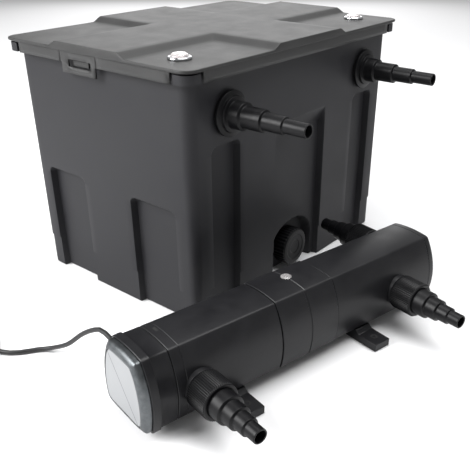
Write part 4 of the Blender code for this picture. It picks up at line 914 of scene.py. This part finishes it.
# profiles of one port, (radius, distance out from the tube's axis)
port = {
    "stub": [(0.0165, 0.036), (0.0240, 0.036), (0.0240, 0.0550), (0.0218, 0.0562), (0.0218, 0.0780),
             (0.0165, 0.0780)],
    "nut": [(0.0222, 0.0570), (0.0250, 0.0570), (0.0256, 0.0590), (0.0256, 0.0915), (0.0245, 0.0940),
            (0.0206, 0.0940), (0.0206, 0.0900), (0.0222, 0.0897)],
    "tail": [(0.0160, 0.0783), (0.0218, 0.0783), (0.0218, 0.0892), (0.0202, 0.0894), (0.0200, 0.1120),
             (0.0160, 0.1130), (0.0160, 0.1300), (0.0125, 0.1310), (0.0125, 0.1480), (0.0100, 0.1490),
             (0.0100, 0.1670), (0.0080, 0.1670), (0.0080, 0.1460), (0.0130, 0.1240)],
    "ribs": 60, "ribDepth": 0.0008,
}


def buildPort(name):
    along, height, towards = ports[name]
    uvTurned(f"{name}Stub", port["stub"], along, towards, height, "uv_plastic", sides=64)
    uvTurned(f"{name}UnionNut", port["nut"], along, towards, height, "fitting_plastic",
             body=f"{name}_union", replaced=(f"union_nut_{name}",), sides=port["ribs"] * 6,
             fillet=0.0005, wave=fluted(port["ribs"], port["ribDepth"], 0.0256, 0.7))
    uvTurned(f"{name}HoseTail", port["tail"], along, towards, height, "fitting_plastic",
             replaced=(f"hose_tail_{name}",), sides=72, fillet=0.0008)


def buildFoot(side, along):
    # flat bar with a saddle up to the body; the edges are broken by a bevel
    under, low, halfWidth, screwOut = 0.0177, clarifier["lowHalf"], 0.015, 0.071
    half = [(0.088, 0.0), (0.088, 0.0115), (0.054, 0.0120), (low + 0.004, 0.0150),
            (low + 0.0015, under - 0.0004), (low - 0.004, under - 0.0010), (0.030, 0.0158),
            (0.015, 0.0148)]
    shape = half + [(0.0, 0.0144)] + [(-y, z) for y, z in reversed(half)]
    points, faces = prism(shape, along - halfWidth, along + halfWidth)
    local = np.array(points)[:, [2, 0, 1]] + (0.0, -clarifier["front"], 0.0)
    foot = addPiece(f"foot_{side}", inPlace(local), faces, "uv_plastic", replaced=(f"foot_{side}",),
                    sharp=20.0)
    bevel = foot.modifiers.new("edges", "BEVEL")
    bevel.width = 0.0008
    bevel.segments = 2
    bevel.limit_method = "ANGLE"
    bevel.angle_limit = math.radians(20)
    for sign in (-1, 1):
        # countersunk screw hole, not cut: the dark dished ring round it is painted shade of the hole
        ring = [(0.0028, 0.0115), (0.0052, 0.01205), (0.0056, 0.01225), (0.0028, 0.0121)]
        origin = inPlace([(along, sign * screwOut - clarifier["front"], 0.0)])[0]
        turnedPiece(f"footHoleShade_{side}_{sign + 1}", ring, origin, (0, 0, 1), "seal_rubber", sides=32,
                    fillet=0.0)


buildHead()
buildHousings()
buildEndFace()
for name in ports:
    buildPort(name)
buildFoot("left", -0.268)
buildFoot("right", -0.028)
gland = {
    "along": -0.3775, "height": 0.080, "exit": 0.0686,
    "nut": [(0.0037, 0.0400), (0.0078, 0.0400), (0.0078, 0.0543), (0.0115, 0.0543), (0.0115, 0.0593),
            (0.0100, 0.0603), (0.0100, 0.0683), (0.0070, 0.0723), (0.0037, 0.0723)],
    "boss": [(0.0082, 0.040), (0.0125, 0.040), (0.0125, 0.0540), (0.0082, 0.0540)],
}
uvTurned("glandNut", gland["nut"], gland["along"], (0, 1, 0), gland["height"], "fitting_plastic",
         replaced=("cable_gland",), sides=48)
uvTurned("glandBoss", gland["boss"], gland["along"], (0, 1, 0), gland["height"], "uv_plastic", sides=48)
print("clarifier built")

# ---- foam blocks and bags
foam = {"cuts": 22, "power": 24, "ripple": 0.0006, "edge": 0.35, "fill": 0.95}
bag = {"across": 72, "around": 96, "power": 0.45, "size": 0.965, "lump": 0.030, "fill": 0.85}


def bowed(value, power):
    # the value with its sign kept and its size raised to the power
    return np.sign(value) * np.abs(value) ** power


def buildFoam(name, slotName):
    # a cut block: faces stay flat but wander by a millimetre, and the edges are a little crushed
    low, high = (np.array(v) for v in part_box(name))
    work = bmesh.new()
    bmesh.ops.create_cube(work, size=1.0)
    bmesh.ops.subdivide_edges(work, edges=work.edges, cuts=foam["cuts"], use_grid_fill=True)
    mesh = bpy.data.meshes.new(name + "Block")
    work.to_mesh(mesh)
    work.free()
    unit = np.empty(len(mesh.vertices) * 3)
    mesh.vertices.foreach_get("co", unit)
    unit = unit.reshape(-1, 3)
    faces = [list(p.vertices) for p in mesh.polygons]
    bpy.data.meshes.remove(mesh)
    # pull towards the superellipsoid |x|^n + |y|^n + |z|^n = 1, n even and large, to soften the edges
    power = foam["power"]
    norm = np.power(np.sum(np.abs(unit * 2.0) ** power, axis=1), 1.0 / power)
    unit = unit / np.maximum(norm, 1e-9)[:, None] * np.max(np.abs(unit * 2.0), axis=1)[:, None]
    place = (low + high) / 2 + unit * (high - low)
    ripple = foam["ripple"] * np.sin(place[:, [1]] * 93.0 + 1.3) * np.sin(place[:, [2]] * 71.0 + 0.4)
    place = place - np.sign(unit) * np.abs(ripple) * (np.abs(unit) > foam["edge"])
    piece = addPiece(name + "Block", place, faces, slotName, replaced=(name,), sharp=80.0)


for grade, shade in (("coarse", "blue"), ("medium", "green"), ("fine", "black")):
    buildFoam(f"foam_{grade}", f"foam_{shade}")


def buildBag(name, seed):
    # a filled net bag: a soft pillow with the lumps of its fill pushing through
    low, high = (np.array(v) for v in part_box(name))
    across, around, power = bag["across"], bag["around"], bag["power"]
    v = np.linspace(-math.pi / 2, math.pi / 2, across)[:, None]
    u = (np.arange(around) * 2 * math.pi / around)[None, :]
    x = bowed(np.cos(v), power) * bowed(np.cos(u), power)
    y = bowed(np.sin(v), power) * np.ones_like(u)
    z = bowed(np.cos(v), power) * bowed(np.sin(u), power)
    unit = np.stack([x, y, z], axis=-1).reshape(-1, 3)
    place = unit * (high - low) / 2 * bag["size"]
    lumps = (np.sin(place[:, 0] * 410 + seed) * np.sin(place[:, 1] * 370 + 2 * seed)
             * np.sin(place[:, 2] * 390 + 1))
    place = place * (1.0 + bag["lump"] * lumps[:, None]) + (low + high) / 2
    piece = addPiece(name + "Pillow", np.clip(place, low, high), gridFaces(across, around), "media_net",
                     replaced=(name,), sharp=80.0)


buildBag("media_bag_lower", 0.7)
buildBag("media_bag_upper", 2.1)
print("foams and bags built")

# ---- power cord: out of the gland, down behind the lamp head, over the floor, and wound up
cord = {
    "radius": 0.0034, "clear": 0.0003, "tieUnder": 0.0013, "length": 5.0, "coilCentre": (-0.530, 0.060),
    "coilRadius": 0.0405, "pitch": 0.0069, "rows": (5, 5, 5, 4), "pointsPerTurn": 24,
    "startAngle": -28.0, "endAngle": 45.0, "plugTail": np.array((-0.5070, 0.1187, 0.0195)),
}


def smoothRoute(knots, spacing):
    # Catmull-Rom through the knots, in steps of about the spacing
    done = []
    for i in range(len(knots) - 1):
        p0, p1 = knots[max(i - 1, 0)], knots[i]
        p2, p3 = knots[i + 1], knots[min(i + 2, len(knots) - 1)]
        pieces = max(2, int(round(np.linalg.norm(p2 - p1) / spacing)))
        t = (np.arange(pieces) / pieces)[:, None]
        done.append(0.5 * (2 * p1 + (p2 - p0) * t + (2 * p0 - 5 * p1 + 4 * p2 - p3) * t ** 2
                           + (3 * p1 - p0 - 3 * p2 + p3) * t ** 3))
    done.append(knots[-1][None, :])
    return np.concatenate(done)


def coilPoints():
    # turn n lies at place n of a stack of rows, laid to and fro, and slides over to place n + 1 part
    # of the way round; the coil rests on its tie
    floor = cord["radius"] + cord["clear"] + cord["tieUnder"]
    places = []
    for level, count in enumerate(cord["rows"]):
        way = 1 if level % 2 == 0 else -1
        for column in range(count):
            places.append((way * (2 - column) * cord["pitch"], floor + level * cord["pitch"]))
    places = np.array(places)
    start, end = math.radians(cord["startAngle"]), math.radians(cord["endAngle"])
    total = 2 * math.pi * (len(places) - 1) + end - start
    count = int(total / (2 * math.pi) * cord["pointsPerTurn"])
    run = np.linspace(0.0, total, count)
    turn = np.floor(run / (2 * math.pi)).astype(int)
    within = (run / (2 * math.pi)) % 1.0
    slide = smoothStep((within - 0.45) / 0.25)
    now = places[np.minimum(turn, len(places) - 1)]
    after = places[np.minimum(turn + 1, len(places) - 1)]
    spot = now * (1 - slide[:, None]) + after * slide[:, None]
    radius = cord["coilRadius"] + spot[:, 0]
    angle = start + run
    cx, cy = cord["coilCentre"]
    return np.column_stack([cx + radius * np.cos(angle), cy + radius * np.sin(angle), spot[:, 1]])


def cordRoute():
    floor = cord["radius"] + cord["clear"]
    start = inPlace([(gland["along"], -clarifier["front"] + gland["exit"], gland["height"])])[0]
    straight = start + inPlace([(0.0, 0.012, 0.0)])[0]
    coil = coilPoints()
    knots = [start, straight] + [np.array(p) for p in (
        (-0.4235, -0.1620, 0.0800), (-0.4270, -0.1300, 0.0620), (-0.4305, -0.0935, 0.0300),
        (-0.4335, -0.0550, 0.0075), (-0.4460, -0.0370, floor), (-0.4665, -0.0225, floor),
        (-0.4830, 0.0010, floor))] + [coil[0]]
    lead = smoothRoute(knots, 0.012)[:-1]
    lead[:, 2] = np.maximum(lead[:, 2], floor)
    away = coil[-1] - coil[-2]
    away = away / np.linalg.norm(away)
    plugTail = cord["plugTail"]
    leave = coil[-1] + away * 0.014 + (0, 0.002, -0.001)
    tail = smoothRoute([coil[-1], leave, plugTail - (0, 0.008, 0), plugTail,
                        plugTail + (0, 0.006, 0)], 0.008)[1:]
    return np.concatenate([lead, coil, tail])


route = cordRoute()
line = bpy.data.curves.new("powerCord", "CURVE")
line.dimensions = "3D"
line.bevel_depth = cord["radius"]
line.bevel_resolution = 4
line.use_fill_caps = True
spline = line.splines.new("POLY")
spline.points.add(len(route) - 1)
weighted = np.column_stack([route, np.ones(len(route))])
spline.points.foreach_set("co", weighted.astype(np.float32).ravel())
spline.use_smooth = True
powerCord = bpy.data.objects.new("powerCord", line)
bpy.context.scene.collection.objects.link(powerCord)
line.materials.append(cordRubber)
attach(powerCord, "filter")
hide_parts("power_cable", "cable_coil")

# profiles are (radius, distance from the cord's end)
plug = {
    "body": [(0.0, -0.0005), (0.0044, 0.0), (0.0052, 0.003), (0.0048, 0.005), (0.0058, 0.008),
             (0.0053, 0.010), (0.0066, 0.014), (0.0062, 0.016), (0.0078, 0.023), (0.0130, 0.028),
             (0.0190, 0.038), (0.0192, 0.052), (0.0192, 0.060), (0.0182, 0.062), (0.0, 0.062)],
    "pin": [(0.0, 0.060), (0.0024, 0.060), (0.0024, 0.079), (0.0014, 0.081), (0.0, 0.081)],
    "pinOut": 0.0095,
}
tie = {"halfWide": 0.0180, "halfTall": 0.0139, "thick": 0.0012, "halfLong": 0.0022, "centreZ": 0.01535,
       "power": 0.5, "sides": 48}
mainsPlug = turnedPiece("mainsPlug", plug["body"], cord["plugTail"], (0, 1, 0), "plug_plastic",
                        replaced=("mains_plug",), sides=48, solid=True)
for sign in (-1, 1):
    pinTail = cord["plugTail"] + (sign * plug["pinOut"], 0, 0)
    turnedPiece(f"plugPin_{sign + 1}", plug["pin"], pinTail, (0, 1, 0), "plug_plastic",
                            sides=24, solid=True, material=plugPins)
# the tie is a rounded band round one side of the coil: inner skin, outer skin, and back
tieAngle = np.linspace(0.0, 2 * math.pi, tie["sides"], endpoint=False)
tieRing = []
for grow, end in ((0.0, -1), (tie["thick"], -1), (tie["thick"], 1), (0.0, 1)):
    tieRing.append(np.column_stack([
        cord["coilCentre"][0] - cord["coilRadius"]
        + (tie["halfWide"] + grow) * bowed(np.cos(tieAngle), tie["power"]),
        np.full(tie["sides"], cord["coilCentre"][1] + end * tie["halfLong"]),
        tie["centreZ"] + (tie["halfTall"] + grow) * bowed(np.sin(tieAngle), tie["power"])]))
cableTie = addPiece("cableTie", np.concatenate(tieRing), gridFaces(4, tie["sides"], closedRows=True),
                    "cord_rubber", replaced=("cable_tie",))
drawn = np.sum(np.linalg.norm(np.diff(route, axis=0), axis=1))
print("cord laid:", round(float(drawn), 3), "m")

# ---- floor and studio light
stage = {"reach": 6.0, "floorZ": -0.0005, "paper": "#f2f2f3", "worldStrength": 0.30}
floorMesh = bpy.data.meshes.new("studioFloor")
reach, floorZ = stage["reach"], stage["floorZ"]
floorMesh.from_pydata([(-reach, -reach, floorZ), (reach, -reach, floorZ), (reach, reach, floorZ),
                       (-reach, reach, floorZ)], [], [(0, 1, 2, 3)])
studioFloor = bpy.data.objects.new("studioFloor", floorMesh)
bpy.context.scene.collection.objects.link(studioFloor)
# matt white background paper
paper = newMaterial("matPaperSweep", {"Roughness": 0.9, "Base Color": hexColour(stage["paper"])})[0]
floorMesh.materials.append(paper)

world = bpy.data.worlds.new("studioWorld")
world.use_nodes = True
backdrop = world.node_tree.nodes["Background"]
backdrop.inputs["Color"].default_value = (1.0, 1.0, 1.0, 1.0)
backdrop.inputs["Strength"].default_value = stage["worldStrength"]
bpy.context.scene.world = world


def addLight(name, place, target, size, power):
    data = bpy.data.lights.new(name, "AREA")
    data.size = size
    data.energy = power
    light = bpy.data.objects.new(name, data)
    light.location = place
    light.rotation_euler = (Vector(target) - Vector(place)).to_track_quat("-Z", "Y").to_euler()
    bpy.context.scene.collection.objects.link(light)


addLight("leftSoftbox", (-1.9, 0.9, 1.5), (0.0, -0.1, 0.1), 1.4, 95.0)
addLight("overheadSoftbox", (0.2, -0.6, 2.4), (0.0, -0.3, 0.0), 1.8, 62.0)
addLight("backSoftbox", (2.3, 1.9, 1.5), (0.0, -0.1, 0.2), 2.4, 34.0)
print("stage lit")
